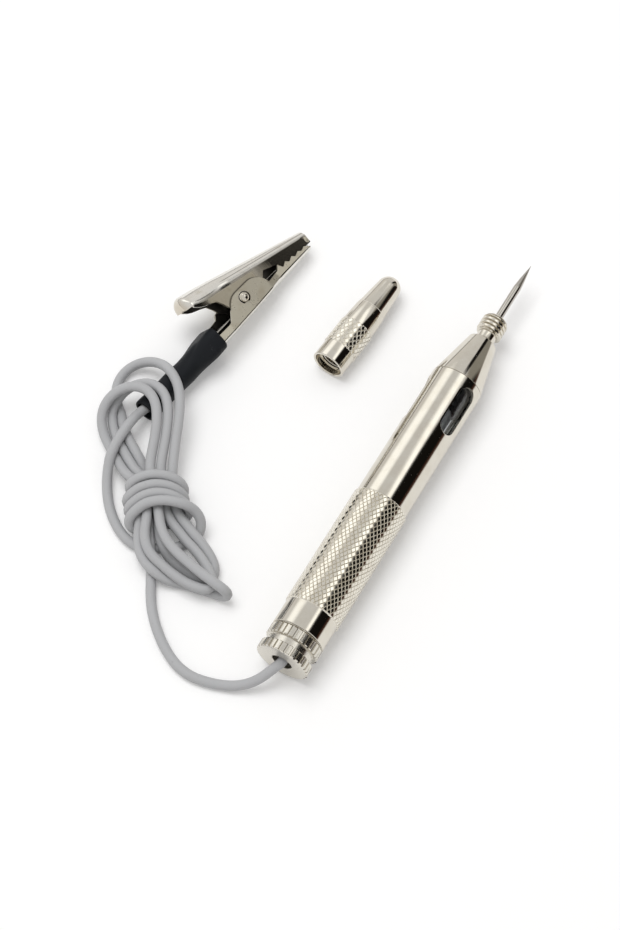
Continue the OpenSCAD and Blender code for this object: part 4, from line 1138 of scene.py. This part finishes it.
def make_lower_jaw():
    end = JAW_REACH - 1.1
    stations = [TAIL_X] + [float(x) for x in np.arange(-12, end - 1, 0.5)] + [end]
    gap = [(x, y - BITE_GAP) for x, y in bite_edge()]
    rear_ear, front_ear = EAR_AT
    near_tail = [(TAIL_X, -8), (TAIL_X, -2.2), (-7.3, -2.1), (-6.4, -1.9), (-4.6, 0)]
    far_tail = [(TAIL_X, -8), (TAIL_X, -0.9), (-9, -0.4), (-7, -0.3), (-5.6, -0.1), (-4.8, 0.9)]
    ears = arc(front_ear, EAR_R, range(90, 14, -5)) + [(7.4, -1.45)]
    front = [(end, -2.6), (end, -8)]
    bm = bmesh.new()
    jaw_back(bm, stations, lower_bend, lower_rise, lower_half_w, -1)
    near = near_tail + arc(rear_ear, EAR_R, range(145, 89, -5)) + ears + [(11.3, -1.25)] + gap + front
    jaw_side(bm, near, stations, lower_bend, lower_half_w, 1, -1)
    far = far_tail + arc(rear_ear, EAR_R, range(125, 89, -5)) + ears + gap[1:] + front
    jaw_side(bm, far, stations, lower_bend, lower_half_w, -1, -1)
    bmesh.ops.remove_doubles(bm, verts=bm.verts[:], dist=0.002)
    end_wall(bm, end, -2.7, 0.3, 1)
    crimp = lathe(bm, [(x, CORD_R + SHEET) for x in CRIMP_X], evenly(24), finish=1)
    bmesh.ops.translate(bm, verts=[v for ring in crimp for v in ring], vec=(0, CRIMP_Y, 0))
    tongue = [bm.verts.new((x, lower_bend(TAIL_X) - 0.7, z)) for x, z in (
        (CRIMP_X[1] - 1, -1.2), (TAIL_X + 0.4, -1.2), (TAIL_X + 0.4, 1.2), (CRIMP_X[1] - 1, 1.2))]
    bm.faces.new(tongue).material_index = 1
    bent_sheet("lower_jaw", bm, "tester", "clip_lower_jaw", ["clip_back", "clip_ear", "clip_ear"])


def make_rivet():
    """Shank with domed heads on thin rims"""
    bm = bmesh.new()
    head = [(0.0, RIVET_RIM_R - 0.04), (0.05, RIVET_RIM_R), (0.1, RIVET_RIM_R - 0.06)]
    head += [(0.1, RIVET_DOME_R + 0.1)] + dome(0.12, 0.72, RIVET_DOME_R, range(0, 90, 10)) + [(0.84, 0)]
    far_head = [(-x - RIVET_SEAT, r) for x, r in reversed(head)]
    near_head = [(x + RIVET_SEAT, r) for x, r in head]
    shank = [(-RIVET_SEAT, RIVET_SHANK_R), (RIVET_SEAT, RIVET_SHANK_R)]
    lathe(bm, far_head + shank + near_head, evenly(48))
    make_piece("jaw_rivet", bm, ["nickel"], "clip_rivet", IN_CLIP @ turn(-90, "Y"))


def make_wire(name, line, stands_for, body, sides=12):
    """Half of the torsion spring: round wire through points of the clip's own axes"""
    bm = bmesh.new()
    radius = TORSION_WIRE / 2
    rings = []
    up = Vector((0, 0, 1))
    for i, p in enumerate(line):
        ahead = (line[min(i + 1, len(line) - 1)] - line[max(i - 1, 0)]).normalized()
        side = up.cross(ahead).normalized()
        over = ahead.cross(side)
        rings.append([bm.verts.new(p + radius * (math.cos(math.tau * k / sides) * side
            + math.sin(math.tau * k / sides) * over)) for k in range(sides)])
    skin(bm, rings)
    bm.faces.new(rings[0])
    bm.faces.new(rings[-1])
    make_piece(name, bm, ["spring_steel"], stands_for, IN_CLIP, 60, body)


def spring_half(leg, leg_angle, sign, half_turns=2.5, steps_per_turn=24):
    """Turns round the rivet's shank, and the leg that its jaw carries"""
    mean_r = TORSION_BORE_R + TORSION_WIRE / 2
    mid = 0.03 + TORSION_WIRE / 2
    outer = mid + (TORSION_WIRE + 0.04) * half_turns
    steps = round(half_turns * steps_per_turn)
    turns = []
    for i in range(steps + 1):
        a = math.radians(leg_angle + sign * (90 + 360 * half_turns * i / steps))
        z = sign * (outer + (mid - outer) * i / steps)
        turns.append(Vector((mean_r * math.cos(a), mean_r * math.sin(a), z)))
    return [Vector((x, y, sign * outer)) for x, y in leg] + turns


def make_springs():
    fixed = spring_half([(-11.7, -3.6), (-11.2, -2.2), (-10.2, -1.6)], 180, 1)
    turning = spring_half([(-7.6, 7.2), (-6.6, 6.7)], 141, -1)
    make_wire("torsion_spring", fixed, "clip_spring", "tester")
    make_wire("torsion_spring_leg", turning, "clip_spring_leg", "clip_jaw")


def dress_cad():
    """Finishes for the pieces that keep their own solids"""
    finish_for = {"front_cushion": "black_plastic", "lamp_filament": "needle_steel", "lamp_base": "brass",
        "lamp_insulator": "black_plastic", "lamp_contact": "solder", "lamp_holder": "brass",
        "contact_spring": "spring_steel", "contact_cup": "brass", "rear_insulator": "black_plastic",
        "cord_stop": "black_plastic", "cord_conductor": "copper_strands", "clip_conductor": "copper_strands"}
    for name, finish in finish_for.items():
        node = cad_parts[name]
        node.data.materials.clear()
        node.data.materials.append(FINISH[finish])


cord, cord_exit, cord_length = make_cord()
make_end_cap()
make_barrel()
make_nose()
make_needle()
make_lamp_window()
make_needle_cap()
make_boot()
make_upper_jaw()
make_lower_jaw()
make_rivet()
make_springs()
dress_cad()


# Floor, lamps and surroundings
FLOOR_HALF = 3.0
FLOOR_DROP = 0.00005
PAPER = (0.86, 0.86, 0.86)
FLOOR_GLOW = 0.145
WHITE = (1, 1, 1)
ROOM_LOW, ROOM_HIGH = (0.80, 0.78, 0.76), (0.74, 0.735, 0.73)
CORNER_GREY = (0.30, 0.285, 0.255)
OPENING_LOW, OPENING_HIGH = (0.066, 0.03, 0.02), (0.008, 0.007, 0.006)
SKIRTING_GREY = (0.05, 0.047, 0.043)
STRIP_WHITE = (1.5, 1.5, 1.47)
WINDOW_WHITE = (1.42, 1.42, 1.4)
SOFT_LOSS = 0.24


def make_floor():
    """White sheet, which glows a little for the camera and for mirrors"""
    bm = bmesh.new()
    corners = ((-FLOOR_HALF, -FLOOR_HALF), (FLOOR_HALF, -FLOOR_HALF), (FLOOR_HALF, FLOOR_HALF),
        (-FLOOR_HALF, FLOOR_HALF))
    bm.faces.new([bm.verts.new((x, y, -FLOOR_DROP)) for x, y in corners])
    mesh = bpy.data.meshes.new("table_top")
    bm.to_mesh(mesh)
    bm.free()
    floor = add("table_top", mesh)
    material = bpy.data.materials.new("white_sheet")
    t = Tree(material)
    seen = 0
    for kind in ("Is Camera Ray", "Is Glossy Ray", "Is Transmission Ray"):
        seen = t.node("ShaderNodeLightPath", out=kind) + seen
    paper = t.node("ShaderNodeBsdfDiffuse", {}, {"Color": PAPER})
    glow = t.node("ShaderNodeEmission", {}, {"Color": WHITE, "Strength": FLOOR_GLOW * seen})
    both = t.node("ShaderNodeAddShader", {}, (paper, glow))
    t.node("ShaderNodeOutputMaterial", {}, {"Surface": both})
    mesh.materials.append(material)


def make_world():
    """Pale room that the metal mirrors: a soft window behind, a dark opening low on the right, a
    bright strip over it, a dark wall edge and corner ahead, and a skirting. The camera sees white."""
    world = bpy.data.worlds.new("studio")
    bpy.context.scene.world = world
    t = Tree(world)
    ahead = t.node("ShaderNodeTexCoord", out="Generated")
    x, y, z = (t.node("ShaderNodeSeparateXYZ", {}, (ahead,), axis) for axis in "XYZ")
    flat = (x * x + y * y + 0.0001) ** 0.5

    def towards(bearing, elevation=0.0):
        way = direction(bearing, elevation)
        return x * way.x + y * way.y + z * way.z

    def round_bearing(bearing, far, near):
        """1 near a bearing at any height, and 0 far from it"""
        return (towards(bearing) / flat).above(far, near)

    opening = z.below(0.73, 0.88) * z.above(0.0, 0.1) * round_bearing(-70, 0.90, 0.94)
    wall_edge = z.below(0.68, 0.78) * round_bearing(-17, 0.988, 0.996)
    corner = z.below(0.62, 0.74) * z.above(0.02, 0.08) * round_bearing(-42, 0.90, 0.95)
    skirting = 0.6 * z.below(0.05, 0.13) * round_bearing(69, 0.3, 0.7)
    strip = z.above(0.78, 0.84) * z.below(0.88, 0.94) * towards(-40).above(0.28, 0.44)
    window = towards(63, 39).above(0.925, 0.995)

    pale = t.mix(z.above(0.0, 0.9), ROOM_LOW, ROOM_HIGH)
    dark = t.mix(z.above(0.12, 0.26), OPENING_LOW, OPENING_HIGH)
    shade = t.mix(corner, pale, CORNER_GREY)
    shade = t.mix(opening + wall_edge, shade, dark)
    shade = t.mix(skirting, shade, SKIRTING_GREY)
    shade = t.mix(strip, shade, STRIP_WHITE)
    shade = t.mix(window, shade, WINDOW_WHITE)
    camera_ray = t.node("ShaderNodeLightPath", out="Is Camera Ray")
    soft_ray = t.node("ShaderNodeLightPath", out="Is Diffuse Ray")
    color = t.mix(camera_ray, t.mix(soft_ray, shade, pale), WHITE)
    back = t.node("ShaderNodeBackground", {}, {"Color": color, "Strength": 1.0 - SOFT_LOSS * soft_ray})
    t.node("ShaderNodeOutputWorld", {}, {"Surface": back})


def make_lamp(name, bearing, elevation, distance, size, brightness):
    """Soft square lamp that faces the object, and that no mirror or glass shows"""
    data = bpy.data.lights.new(name, "AREA")
    data.shape = "SQUARE"
    data.size = size
    data.energy = brightness * math.pi * size * size
    where = direction(bearing, elevation) * distance
    lamp = add(name, data)
    lamp.location = where
    lamp.rotation_euler = (-where).to_track_quat("-Z", "Y").to_euler()
    lamp.visible_glossy = False
    lamp.visible_transmission = False


make_floor()
make_world()
make_lamp("overhead_softbox", 80, 74, 1.6, 1.0, 4.2)

bpy.context.scene.view_settings.view_transform = "Standard"
